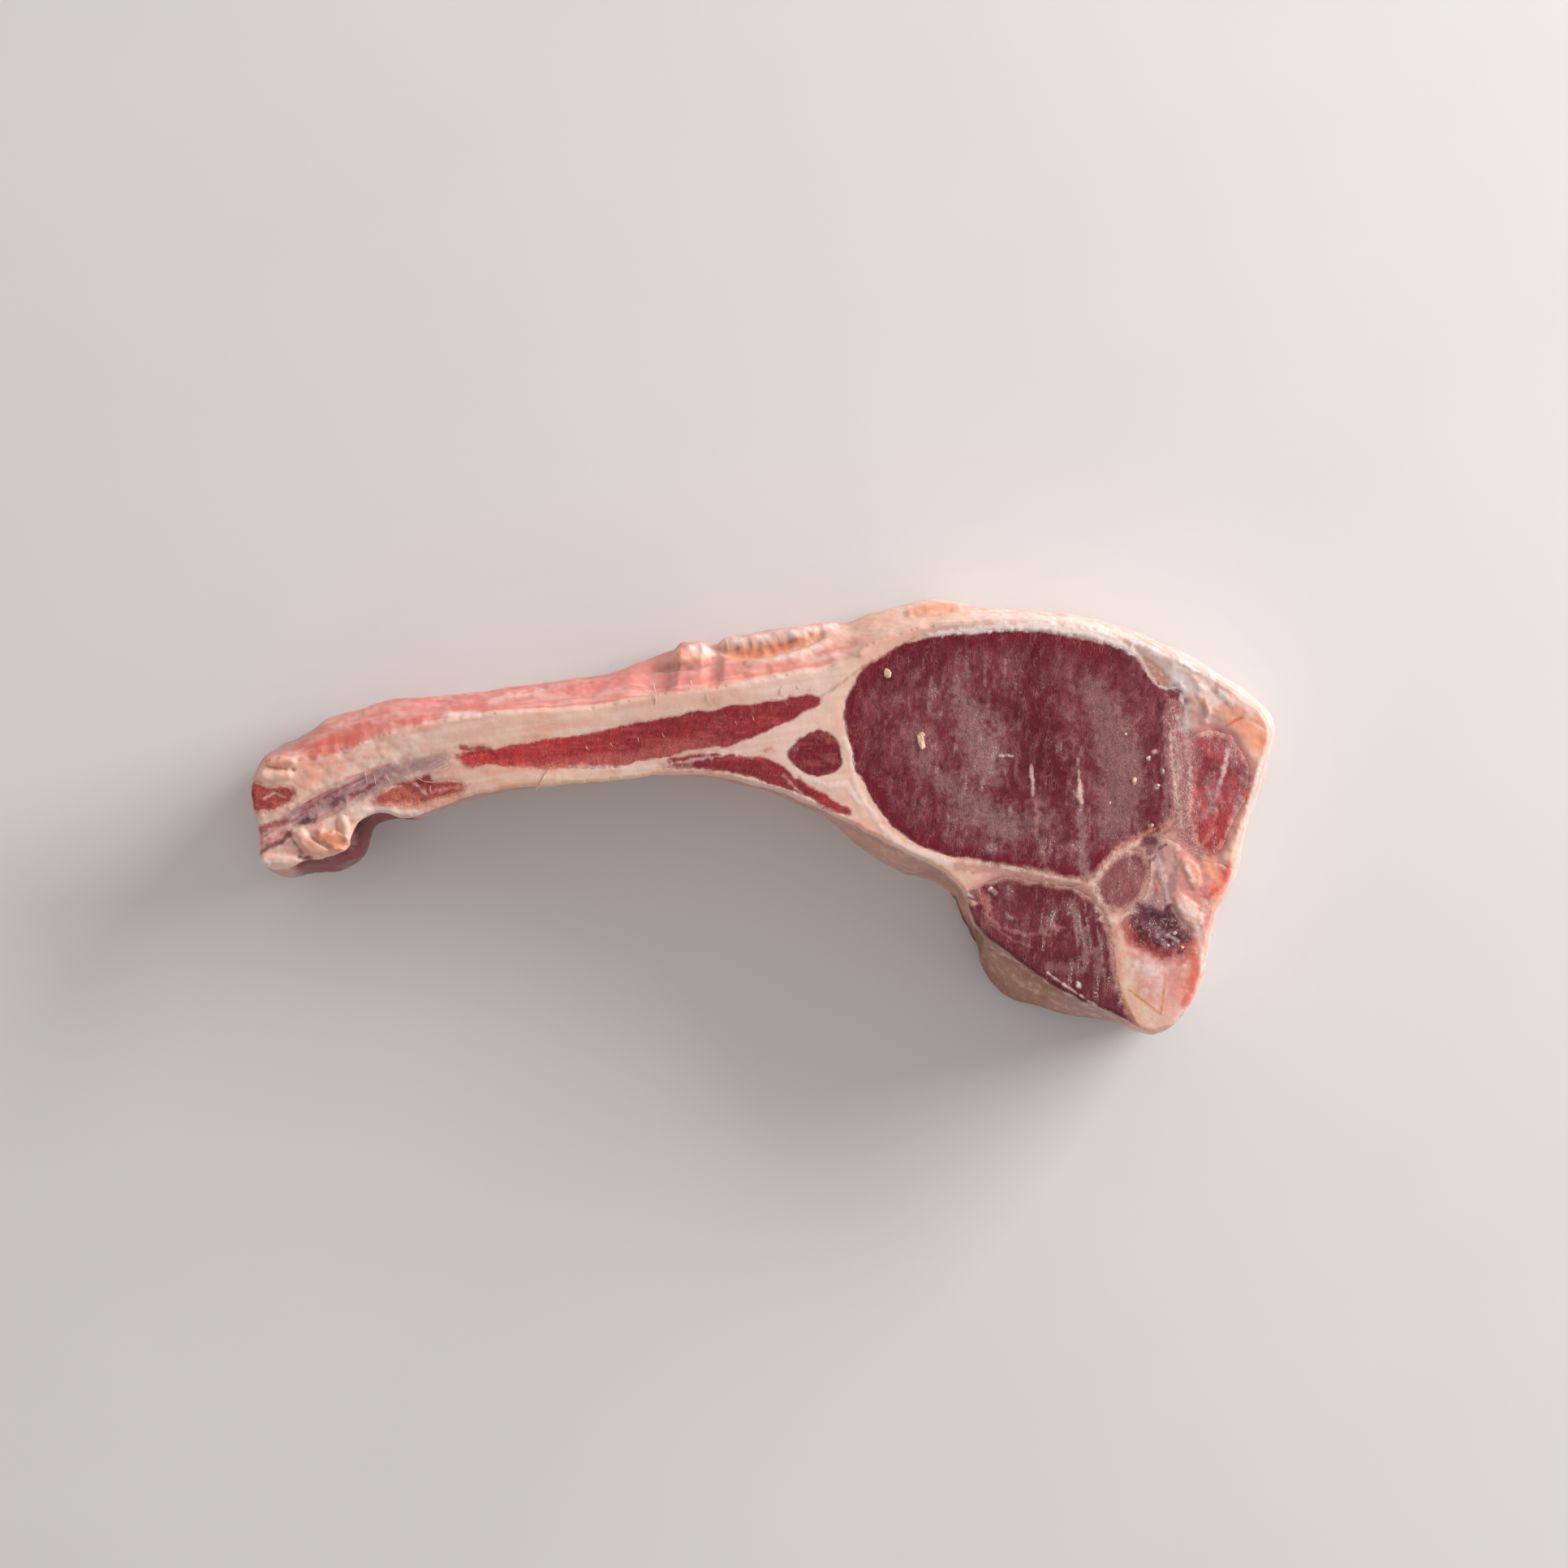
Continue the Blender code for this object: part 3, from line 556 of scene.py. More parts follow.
# %% Marks on the foot
LOWER_MARKS = [
    ("patch frost", 0.5, 10.4, -26.7, 0.41, 12, -31.1, 0.6, 12.6, -35.1, 0.5),
    ("line frost", 0.9, 11.2, -26.1, 0.09, 11.6, -29.7, 0.15, 12.3, -33.1, 0.11),
    ("line frost", 0.8, 12.3, -27, 0.08, 13.1, -31.1, 0.12, 13.5, -34, 0.08),
    ("line frost", 0.6, 10.4, -27.7, 0.08, 10.9, -31.1, 0.11, 11.3, -34, 0.07),
    ("line frost", 0.5, 14.2, -28.4, 0.07, 14.9, -33.1, 0.11, 15.5, -37.1, 0.07),
    ("line fleck", 0.9, 6.1, -37.5, 0.11, 8.5, -39.3, 0.12, 11.5, -41.3, 0.12, 14.4, -43.2, 0.12, 18, -45.1,
     0.12),
    ("patch seam", 0.7, 15.8, -28.1, 0.41, 17, -31.1, 0.5, 17.4, -35.1, 0.41, 18.2, -39.2, 0.41),
    ("patch frost", 0.35, 14.4, -33.8, 0.5, 15, -37.8, 0.7),
    ("smear eye pink", 0.6, 5.4, -30.5, 0.5, 7.4, -30.1, 0.7, 9.3, -30.1, 0.27),
    ("smear frost", 0.45, 6.1, -28.4, 0.41, 7.7, -30.5, 0.34),
    ("seam frost", 0.7, -3.4, -23.5, 0.22, -2.4, -24.3, 0.27),
    ("seam frost", 0.7, -0.7, -27.9, 0.3, 0.4, -28.6, 0.27),
    ("patch pink", 0.45, -5.7, -23.2, 0.7, -4.3, -25.7, 0.8, -3.1, -28.1, 0.5),
    ("seam eye pink", 0.6, -4.1, -27.7, 0.22, -1.8, -30, 0.22, 2.3, -31.3, 0.24, 7.4, -31.1, 0.19),
    ("seam eye pink", 0.5, -3.1, -29.7, 0.19, 0.7, -32.4, 0.19, 3.4, -33.2, 0.14),
    ("flake fleck", 0.9, 11.2, -39.3, 0.27, 11.5, -39.8, 0.35),
    ("patch frost", 0.3, 6.1, -36.5, 0.5, 12.2, -37.1, 0.8),
    ("patch eye pink", 0.5, 15.5, -27, 0.41, 16.3, -31.1, 0.41, 16.9, -36.5, 0.41),
    ("patch gristle", 0.92, 24.2, -15.7, 0.9, 25.8, -17.3, 1.6, 26.3, -20.5, 1.9, 25.5, -23.8, 1.8, 24.2,
     -26.5, 1.4, 20.9, -27.3, 0.7),
    ("seam bone", 0.5, 25.8, -16.2, 0.8, 26.3, -18.9, 0.8, 25.2, -22.1, 0.7),
    ("pit grey", 0.6, 27.3, -18.4, 0.5, 27.1, -20, 0.5),
    ("seam white", 0.35, 24.7, -18.9, 0.27, 25.5, -22.7, 0.41, 26.3, -25.7, 0.27),
    ("pit purple", 0.8, 22.3, -16.2, 0.8, 23.6, -15.7, 1.1, 23.1, -17.6, 0.8),
    ("pit dark", 0.7, 22.5, -15.9, 0.5, 24, -15.8, 0.7),
    ("flake eye deep", 0.7, 24.7, -16.9, 0.22, 25.9, -16.3, 0.24),
    ("flake eye deep", 0.7, 23.2, -18.9, 0.27, 24.2, -18.2, 0.27),
    ("seam rose", 0.6, 24.2, -22.7, 0.22, 24.7, -23.6, 0.19),
    ("seam rose", 0.5, 25.1, -22, 0.14, 24.4, -24.3, 0.16),
    ("patch pink", 0.5, 28.4, -16.2, 0.7, 30.4, -17.8, 0.8),
    ("lump warm", 0.8, 29, -19.4, 0.8, 30.4, -20.8, 1.2, 30.9, -22.7, 0.9),
    ("lump cream", 0.8, 28.5, -25.9, 1.1, 29.8, -27.3, 1.5, 30.9, -28.9, 1.1),
    ("smear white", 0.5, 28.8, -26.2, 0.7, 30.1, -27.5, 0.9),
    ("seam white", 0.6, 29.3, -20, 0.5, 30.4, -22.1, 0.5),
    ("seam pink", 0.6, 32.3, -19.2, 0.7, 32.8, -21.6, 0.8, 32.3, -24.3, 0.7),
    ("crease orange", 0.35, 28.5, -24, 0.11, 30.1, -23.8, 0.12, 32, -24.2, 0.11),
    ("crease pink", 0.4, 27.1, -25.4, 0.09, 27.1, -27.3, 0.11, 28.4, -28.8, 0.11),
    ("seam pink", 0.7, 32.3, -26.7, 0.7, 32, -29.2, 0.7),
    ("smear white", 0.4, 32.3, -25.9, 0.41, 31.7, -28.6, 0.41),
    ("patch rose", 0.6, 19.3, -29.7, 0.8, 20.4, -32.4, 1.1, 24.2, -34.6, 1.1, 27.9, -33.5, 0.8),
    ("patch eye deep", 0.5, 20.4, -28.9, 0.9, 21.5, -32.1, 1.1, 26.3, -34, 1.1),
    ("pit purple", 0.9, 21.5, -27, 0.9, 23.6, -28.6, 1.8, 25.8, -30.8, 2, 27.1, -32.4, 1.2),
    ("pit dark", 0.7, 22.5, -27.5, 0.8, 24.4, -29.4, 1.4, 26.9, -31.9, 1.1),
    ("smear frost", 0.45, 23.4, -29.7, 0.41, 25, -31.1, 0.5, 27.1, -31.1, 0.41),
    ("patch pink", 0.6, 19.8, -34, 0.5, 22.3, -35.6, 0.8, 26.3, -35.9, 0.7),
    ("smear white", 0.4, 20.9, -35.9, 0.5, 23.6, -37.3, 0.7),
    ("seam fleck", 0.6, 26.3, -31.3, 0.27, 27.9, -32.4, 0.35),
    ("seam frost", 0.5, 24.3, -31.1, 0.27, 25.8, -33.1, 0.32),
    ("patch red", 0.8, 29.3, -33.2, 0.41, 29.3, -35.1, 0.5, 27.9, -36.2, 0.32),
    ("patch orange", 0.75, 30.6, -33.8, 0.9, 30.6, -37.8, 1.1, 28.4, -41.2, 0.9),
    ("rim cream", 0.85, 30.5, -33.8, 0.5),
    ("patch rose", 0.45, 31.5, -36.2, 0.5, 30.9, -39.2, 0.5),
    ("patch pale yellow", 0.5, 18.4, -31.1, 0.41, 18.8, -36.5, 0.8, 20.1, -41.2, 1.2, 22, -43.9, 1.1),
    ("haze white", 0.55, 23.6, -36.5, 1.1, 24.7, -39.8, 1.2),
    ("line golden", 0.85, 19.8, -40.4, 0.16, 22.3, -42.3, 0.19, 25, -44.4, 0.14),
    ("line golden", 0.8, 25.9, -37.8, 0.15, 25.5, -40.8, 0.16, 25.1, -44, 0.14),
    ("seam golden", 0.55, 16.7, -29.7, 0.16, 17.3, -34.2, 0.16, 18, -38.7, 0.16, 19.2, -42.3, 0.19, 21.2,
     -46.2, 0.22),
    ("patch rose", 0.85, 34, -23.2, 0.7, 35.5, -21.9, 0.8, 36.3, -20.2, 0.7),
    ("patch orange", 0.7, 33.3, -18.9, 0.9, 34.2, -22.1, 0.9, 34.4, -25.7, 0.8),
    ("smear red", 0.6, 32.9, -24.8, 0.27, 34.4, -23.8, 0.32),
]
print(len(LOWER_MARKS), "marks on the foot")

# %% [markdown]
# The right side: the back muscle behind its veil of fat, the grainy orange-tinted fat above it, the
# glossy rim, whose white and pink are partly fat and partly a painted highlight, and last the clouds
# of rose and white on the bone's outer edge. Marks are painted in order, so these lie over the foot's.

# %% Marks on the right side
RIGHT_MARKS = [
    ("patch eye deep", 0.5, 31.7, -2, 1.2, 33.3, -4.1, 1.1, 31.5, -6.1, 0.8),
    ("patch strip", 0.7, 35.5, -10.1, 1.1, 34.7, -14.2, 1.4, 33.3, -17.3, 0.8),
    ("smear frost", 0.45, 32.3, -5.4, 0.5, 33.9, -10.1, 0.5, 30.9, -12.2, 0.5),
    ("seam fleck", 0.7, 36.2, -0.7, 0.22, 35.6, -3.4, 0.3, 34.7, -6.2, 0.27),
    ("smear frost", 0.5, 34.4, -6.2, 0.32, 33.9, -8.8, 0.41, 33.3, -7.4, 0.32),
    ("smear pink", 0.5, 30.4, -7.4, 0.32, 29.8, -10.8, 0.35, 30.9, -15.5, 0.41),
    ("smear pink", 0.45, 34.4, -10.8, 0.19, 33.6, -13.8, 0.22, 32, -16.2, 0.22),
    ("patch purple", 0.6, 38.7, -3, 0.7, 39.3, -5.1, 0.9, 38.5, -8.8, 0.5),
    ("patch frost", 0.4, 38.2, -8.8, 0.5, 37.4, -11.5, 0.5),
    ("smear bright red", 0.6, 38.5, -7.3, 0.35, 39.4, -8.4, 0.4),
    ("seam white", 0.6, 42, -2, 0.5, 40.9, -6.8, 0.5, 39.6, -10.8, 0.5),
    ("rim cream", 0.6, 38.7, -13.2, 0.41, 37.1, -16.7, 0.7),
    ("patch orange", 0.8, 37.1, 4.3, 0.7, 39.8, 3, 1.2, 41.4, 0.7, 1.1),
    ("seam warm", 0.6, 31.5, 9.5, 1.1, 34.2, 6.5, 1.4, 36.3, 4.9, 0.8),
    ("seam orange", 0.55, 30.6, 11.1, 0.5, 31.7, 9.2, 0.5, 33.3, 5.4, 0.41),
    ("smear orange", 0.5, 35.8, 7, 0.5, 38.7, 5.9, 0.8),
    ("rim white", 0.65, 28.5, 14.2, 0.41, 29.8, 13.5, 0.41, 30.6, 12.7, 0.41),
    ("lump white", 0.5, 32.3, 7.3, 0.41, 33.1, 6.2, 0.41, 32.5, 4.3, 0.41),
    ("flake fleck", 0.7, 32.8, 4.1, 0.3),
    ("crease red", 0.85, 35.9, 3.5, 0.11, 37.1, 4.2, 0.18, 38.6, 4.9, 0.11),
    ("crease orange", 0.9, 39.8, 4.6, 0.16, 41.4, 3.8, 0.16, 42.7, 2.8, 0.14),
    ("lump rose", 0.7, 35.1, 12, 0.5),
    # Along the outer rim: white and pink of fat, partly a painted highlight where the rim is glossy.
    ("seam white", 0.55, 20.9, 18.6, 0.41, 26.3, 16.2, 0.5, 31.1, 14, 0.5, 34.4, 11.6, 0.41),
    ("smear white", 0.5, 20.9, 17.3, 0.5, 26.3, 14.6, 0.5, 34.4, 9.5, 0.41, 40.5, 5.7, 0.41),
    ("patch pink", 0.45, 40.5, 7, 0.41, 42.8, 4.7, 0.5, 43.3, 2, 0.5),
    ("patch white", 0.6, 27.4, 12.4, 1.1, 30.4, 10, 1.4, 34.4, 7.8, 1.1),
    ("rim white", 0.6, 27.9, 11.1, 0.41, 29, 9.5, 0.5, 28.5, 7.8, 0.35),
    ("rim white", 0.5, 31.2, 10.5, 0.35, 32, 9.2, 0.41, 30.9, 8.4, 0.32),
    ("seam orange", 0.5, 29.6, 12.2, 0.35, 30.6, 11.1, 0.32),
    ("seam orange", 0.45, 29.8, 8.6, 0.41, 31.2, 7.3, 0.41, 30.4, 6.2, 0.32),
    ("rim white", 0.45, 34.4, 9.2, 0.41, 35.8, 8.1, 0.41, 37.1, 7, 0.32),
    ("patch pink", 0.5, 30.9, 5.4, 0.8, 33.1, 3.4, 1.1, 31.2, 2.7, 0.8),
    ("patch veil", 0.6, 30.4, 2, 0.8, 30.6, -1.4, 0.8),
    ("patch rose", 0.6, 30.4, -32.4, 0.9, 30.9, -37.8, 1.1, 29.3, -42.7, 0.9),
    ("patch pink", 0.5, 27.4, -35.1, 0.9, 27.9, -39.8, 0.9),
    ("patch white", 0.5, 31.2, -29.7, 0.5, 32, -35.1, 0.41, 31.5, -39.8, 0.41),
]
print(len(RIGHT_MARKS), "marks on the right side")

# %% [markdown]
# The rib part: the long crack that parts the fat cap from the rib fat, the white wedge between the
# muscles, and the peach membrane under the eye.

# %% Marks on the rib part
RIB_MARKS = [
    ("line brown", 0.4, -31.6, 8.4, 0.16, -29.4, 9.7, 0.19, -26.6, 11.7, 0.2, -24.2, 13.6, 0.2, -21.6, 15,
     0.19, -18.5, 16.7, 0.16, -15.4, 18.6, 0.14),
    ("smear rose", 0.35, -25, 13, 0.16, -22.5, 14.4, 0.2, -20.2, 15.8, 0.16),
    ("smear strip dark", 0.8, -56.6, -2.7, 0.27, -53.3, -2.8, 0.7, -49.3, -3, 0.9, -44.6, -3.2, 1.1, -40.5,
     -4.1, 1.1, -37.1, -5.7, 0.9, -34.2, -7.4, 0.7),
    ("smear rose", 0.55, -40.6, -0.5, 0.27, -39.7, -0.3, 0.35),
    ("seam white", 0.6, -50.6, -0.9, 0.14, -47.9, -0.9, 0.19, -45.2, -1.2, 0.22, -43.2, -1.9, 0.14),
    ("seam white", 0.5, -73.6, -3.2, 0.19, -68.2, -3.5, 0.27, -61.4, -3.5, 0.27, -53.3, -2.3, 0.27, -47.9,
     -1.4, 0.22),
    ("seam sinew", 0.6, -37.8, -4.7, 0.16, -34.2, -8.5, 0.27, -31.1, -10.3, 0.3, -27.9, -11.9, 0.32, -24.8,
     -13.8, 0.32, -21.6, -15.7, 0.3),
    ("seam white", 0.7, -32.5, -5.7, 0.19, -30.4, -6.5, 0.35, -27.5, -6.2, 0.41, -26.6, -7.4, 0.32, -25.1,
     -9.5, 0.32),
    ("patch strip dark", 0.7, -38.5, -3.4, 0.41, -35.1, -6.1, 0.5, -32.4, -8.4, 0.32),
    ("patch seam", 0.55, -25.2, -14.9, 0.41, -19.6, -18.9, 0.8, -14.2, -22.7, 1.1, -8.8, -26.3, 0.9),
    ("seam cream", 0.8, -9.9, -23.2, 0.27, -8, -24.6, 0.5, -6.3, -26.2, 0.41),
    ("patch pink", 0.5, -20.9, -18.4, 0.5, -16.2, -21.6, 0.5, -10.1, -24, 0.7),
    ("seam white", 0.6, -15.9, -19.3, 0.22, -11.5, -21.9, 0.35, -6.5, -25, 0.27),
    ("patch orange", 0.35, -11.5, -25.4, 0.5, -8, -27.3, 0.7),
    ("patch orange", 0.4, -87.1, -4.1, 0.41, -79, -3.8, 0.5, -70.9, -3, 0.41),
    ("patch rose", 0.5, -89.8, -2.2, 0.27, -85.7, -2.7, 0.41, -80.3, -2.8, 0.41),
    ("pit strip", 0.9, -93, 0, 0.19, -90.5, -0.3, 0.41, -87.1, -0.8, 0.7),
    ("pit red", 0.8, -93.6, -1.8, 0.22, -90.5, -1.8, 0.5, -87.1, -1.9, 0.8),
    ("line strip", 0.6, -94.1, -1.1, 0.11, -91.1, -1.1, 0.16),
    ("patch pink", 0.5, -92.5, -3.2, 0.41, -87.1, -3.5, 0.5),
    ("seam pale yellow", 0.7, -79, -5.1, 0.27, -74.9, -5.4, 0.41, -69.5, -5.8, 0.41, -64.1, -5.4, 0.41, -60.1,
     -4.6, 0.27),
    ("seam sinew", 0.6, -58.1, -2.4, 0.27, -57.1, -3.4, 0.34, -54.7, -4.1, 0.34, -49.3, -4.5, 0.27, -42.5,
     -5.7, 0.27),
    ("patch seam", 0.6, -57.6, -2.8, 0.27, -56, -3.2, 0.41, -53.3, -3.5, 0.5),
    ("patch pink", 0.35, -56, 14.2, 0.5, -49.3, 12.8, 0.7, -46.6, 11.3, 0.41),
    ("seam white", 0.5, -53.3, 11.1, 0.5, -53.1, 10, 0.41),
    ("smear cream", 0.5, -27.7, 16.2, 0.7, -25, 17.6, 0.8, -22.3, 18.6, 0.7),
    ("lump pink", 0.5, -25, 15.4, 0.5, -24.2, 17, 0.5, -22, 18.6, 0.5, -20.1, 19.4, 0.41),
]
print(len(RIB_MARKS), "marks on the rib part")

# %% [markdown]
# The tail's end: thin sheets of flank muscle between grey membranes, and knobs of torn fat.

# %% Marks on the tail
TAIL_MARKS = [
    ("lip warm", 0.6, -124.1, -2.4, 0.5, -121.9, -2.2, 0.7, -120, -2.4, 0.5),
    ("gash deep orange", 0.85, -124.3, -3.2, 0.14, -122.2, -3.6, 0.18, -120, -3.8, 0.14),
    ("lip cream", 0.7, -124.9, -4.9, 0.8, -122.7, -4.9, 0.8, -120.8, -4.6, 0.7),
    ("patch orange", 0.35, -117.9, -3.4, 0.8, -116.2, -4.3, 0.8, -117.3, -6.5, 0.5),
    ("line fleck", 0.5, -124.9, -8.6, 0.16, -123, -7.6, 0.16, -121.4, -8.4, 0.16),
    ("patch dark", 0.5, -120.8, -7.2, 0.41, -119.7, -7.6, 0.41),
    ("lump cream", 0.75, -125.4, -11.6, 0.5, -123.3, -11.1, 0.5, -120.6, -9.7, 0.5),
    ("pit flank", 0.8, -125.4, -13.8, 0.5, -123.3, -13, 0.6, -121.1, -12.2, 0.41),
    ("seam sinew", 0.6, -124.6, -15.4, 0.32, -122.2, -14, 0.32, -120.3, -13, 0.22),
    ("pit strip dark", 0.8, -125.4, -17.6, 0.32, -123.5, -16.5, 0.4, -121.1, -15.1, 0.5, -120.3, -14, 0.32),
    ("pit dark", 0.5, -123.5, -16.7, 0.19, -121.4, -15.4, 0.22),
    ("patch grey", 0.8, -118.7, -12.2, 0.7, -115.4, -9.7, 1.1, -112.1, -8.8, 1.1, -108, -7.4, 1.1, -103.3,
     -5.1, 0.9, -97.9, -3, 0.8),
    ("patch grey", 0.6, -106, -4.3, 0.7, -100.6, -2.7, 0.7, -93.8, -1.4, 0.5),
    ("pit strip dark", 0.85, -110.3, -8.2, 0.24, -108, -7.2, 0.32, -104.9, -5.1, 0.22),
    ("pit strip dark", 0.65, -118.8, -11.1, 0.19, -116.1, -9.5, 0.27, -113.8, -8.1, 0.22),
    ("line rose", 0.5, -113.4, -6.5, 0.14, -110.7, -5.1, 0.19, -107.3, -4.1, 0.16, -103.8, -2.8, 0.14),
    ("pit purple", 0.9, -113.3, -9.5, 0.5, -111.6, -8.6, 0.5),
    ("pit dark", 0.8, -118.9, -12.7, 0.35, -117.3, -12.3, 0.5, -116, -11.9, 0.41),
    ("pit strip dark", 0.9, -98.8, -5.7, 0.41, -97.6, -5.4, 0.7, -97.1, -6.2, 0.5),
    ("seam sinew", 0.6, -103.3, -4.6, 0.19, -100.6, -5, 0.24, -98.7, -4.3, 0.22),
    ("seam white", 0.5, -99.5, -6.2, 0.14, -97.9, -7.6, 0.16, -97.3, -8.1, 0.14),
    ("seam pink", 0.6, -96.8, -7.6, 0.27, -94.1, -7, 0.27, -90, -6.2, 0.22),
    ("patch orange", 0.6, -104.6, -9.7, 0.41, -100.6, -9.7, 0.5, -95.9, -9.5, 0.5, -92.5, -8.1, 0.5),
    ("line fleck", 0.45, -104.6, -7, 0.19, -101.9, -6.5, 0.16),
    ("seam white", 0.75, -107.9, -10.3, 0.41, -104.6, -10.5, 0.41, -101.4, -10.8, 0.41, -97.9, -11.3, 0.41),
    ("seam cream", 0.8, -108.4, -9.5, 0.5, -107.1, -8.6, 0.41),
    ("knob deep orange", 0.75, -115.2, -14.9, 0.9, -113, -15.7, 1.5, -111.4, -16.2, 1.2),
    ("lump pink", 0.5, -117, -13.8, 0.5, -115.2, -13.5, 0.7),
    ("knob warm", 0.8, -118.7, -14.9, 0.8, -116.8, -16.7, 1.1, -114.1, -17.8, 1.1, -110.8, -17.6, 0.9),
    ("seam orange", 0.7, -113.5, -16.5, 0.41, -112.2, -17, 0.41),
    ("lip cream", 0.75, -111.6, -12.2, 0.7, -111.1, -14, 0.7, -110, -15.7, 0.5),
    ("crease orange", 0.8, -112.6, -12.2, 0.12, -112.5, -13.5, 0.14),
    ("gash brown", 0.7, -120.8, -14.6, 0.19, -119.5, -16.2, 0.22, -117.9, -18.4, 0.22),
    ("lip sinew", 0.7, -124.3, -18.9, 0.9, -121.6, -18.9, 0.9, -118.9, -19.2, 0.7),
    ("lump white", 0.8, -124.9, -19.2, 0.5, -124.1, -19.7, 0.41),
    ("rim fleck", 0.6, -123, -17, 0.27, -120.8, -16.7, 0.22),
    ("gash dark", 0.8, -118.7, -18.4, 0.27, -117.3, -18.6, 0.41),
]
print(len(TAIL_MARKS), "marks on the tail")

# %% [markdown]
# The outer side leans out past the cut face, so its pink skin shows from above too, with the loose
# flap of fat beyond a groove. The groove's deep orange, and the brown under the flap's edges, are
# painted shade.

# %% Marks on the outer side
SIDE_MARKS = [
    ("haze rose", 0.8, -117, -0.7, 0.7, -114.1, 0.7, 1.1, -110, 2.7, 1.2, -106.7, 4.1, 0.8),
    ("patch red", 0.55, -118.7, -1.6, 0.32, -116.1, -1.4, 0.41, -112.7, -0.8, 0.41, -109.2, 0.5, 0.32),
    ("patch red", 0.4, -108.7, 4.9, 0.41, -105.3, 5.9, 0.41),
    ("patch rose", 0.55, -104.6, 4.1, 0.7, -100.6, 4.9, 0.7, -95.2, 5.9, 0.5),
    ("patch cream", 0.6, -103.3, 6.5, 0.41, -102.2, 5.4, 0.41),
    ("smear sinew", 0.5, -114.1, 3.4, 0.27, -110, 5.1, 0.27, -104.6, 4.3, 0.32, -101.9, 3.4, 0.27),
    ("smear sinew", 0.45, -117.9, 0.7, 0.27, -114.8, 2.3, 0.27, -111.4, 3.6, 0.27),
    ("patch grey", 0.85, -123.5, -1.6, 0.5, -121.9, 0.3, 0.8, -120, 2.4, 0.8, -117.9, 3.8, 0.5),
    ("haze pink", 0.55, -106, 4.9, 0.9, -92.5, 7, 0.9, -81.7, 8.6, 0.9, -70.9, 11.1, 1.1, -60.1, 11.9, 0.9),
    ("patch rose", 0.5, -93, 6.5, 0.32, -87.1, 7.6, 0.5, -80.3, 8.6, 0.41),
    ("patch rose", 0.55, -74.9, 9.7, 0.5, -70.9, 10.5, 0.7, -65.5, 11.3, 0.5),
    ("patch white", 0.45, -87.1, 7.8, 0.41, -84.4, 8.4, 0.41, -79, 9.5, 0.41),
    ("seam white", 0.6, -94.5, 5.4, 0.41, -91.1, 5.7, 0.41, -88.4, 5.4, 0.41),
    ("patch rose", 0.6, -50.9, 11.1, 0.5, -46.6, 12.7, 0.5, -43.2, 12.2, 0.41),
    ("patch rose", 0.75, -40.1, 13.2, 0.41, -37.4, 13.8, 0.5, -35.2, 14.6, 0.41),
    ("patch pink", 0.6, -54.7, 13.2, 0.8, -46.6, 13.5, 1.1, -38.5, 14.6, 1.1, -31.7, 15.4, 0.8),
    ("patch white", 0.5, -34.4, 14.6, 0.41, -31.5, 14.9, 0.5, -29, 15.4, 0.41),
    ("patch cream", 0.7, -27.7, 15.4, 0.7, -25, 16.2, 0.8),
    ("patch cream", 0.9, -58.5, 14.6, 0.7, -55.2, 15.8, 1.2, -50.6, 16.9, 1.6, -43.9, 17.6, 2, -35.8, 18.9, 2,
     -27.7, 20, 1.6, -19.6, 21.1, 1.2, -12.8, 22.7, 1.1),
    # The groove behind the flap: its deep orange is painted shade.
    ("hollow deep orange", 0.95, -47.7, 16.6, 0.41, -45.2, 16.2, 0.9, -41.2, 16.2, 1.2, -37.1, 17.3, 1.1,
     -33.8, 18.4, 0.8, -31.7, 19.2, 0.41),
    # A brown line under the flap's edge: painted shadow.
    ("smear brown", 0.8, -48.7, 17, 0.22, -43.9, 17.1, 0.35, -38.5, 18, 0.35, -34.4, 19, 0.41, -32.3, 19.7,
     0.41),
    ("patch orange", 0.8, -45.9, 15.4, 0.41, -41.2, 15.1, 0.5, -36.5, 16.2, 0.5),
    ("lip white", 0.85, -49.5, 18.1, 0.41, -46.6, 18.5, 0.6, -41.9, 18.9, 0.6, -35.8, 20, 0.6, -29, 21.1,
     0.5),
    ("smear pink", 0.7, -48.7, 18.8, 0.22, -42.5, 19.4, 0.27, -35.1, 20.5, 0.27, -31.7, 20.9, 0.22),
    ("lip cream", 0.9, -43.9, 14.2, 0.41, -40.5, 14.7, 0.6, -37.8, 15, 0.6, -35.2, 15.8, 0.7, -32.5, 16.6,
     0.7, -30.4, 17.6, 0.5),
    ("smear white", 0.7, -38.7, 15, 0.32, -33.1, 16.6, 0.35, -31.2, 17.4, 0.32),
    # Brown under the lump at the flap's start: painted shadow.
    ("hollow brown", 0.7, -60.1, 13.8, 0.22, -57.1, 13.9, 0.5, -53.3, 14, 0.5, -51.2, 14.4, 0.27),
    ("lip orange", 0.9, -56.4, 15.4, 0.41, -55.2, 16.1, 0.7, -53.6, 16.3, 0.6),
    ("lip white", 0.7, -53.9, 17, 0.5, -52, 17.4, 0.5, -50.1, 16.2, 0.5),
    # Deep orange under the lump's lip: painted shade.
    ("smear deep orange", 0.6, -56.6, 14.7, 0.27, -54.4, 14.9, 0.32, -52.5, 15, 0.27),
    ("lip orange", 0.9, -16.3, 22.8, 0.5, -14.2, 23.4, 0.7, -11.5, 24, 0.8, -8.5, 23.8, 0.7),
    ("crease deep orange", 0.5, -15.5, 22, 0.22, -11.5, 22.4, 0.27),
    ("patch orange", 0.45, -25, 20.8, 0.5, -19.6, 21.9, 0.5),
    ("patch white", 0.6, -6.1, 22, 0.5, 2, 22, 0.5, 11.5, 21.1, 0.5, 19.6, 18.6, 0.5),
]
FACE_MARKS = EYE_MARKS + SEAM_MARKS + LOWER_MARKS + RIGHT_MARKS + RIB_MARKS + TAIL_MARKS
print(len(FACE_MARKS), "marks on the face,", len(SIDE_MARKS), "on the outer side")

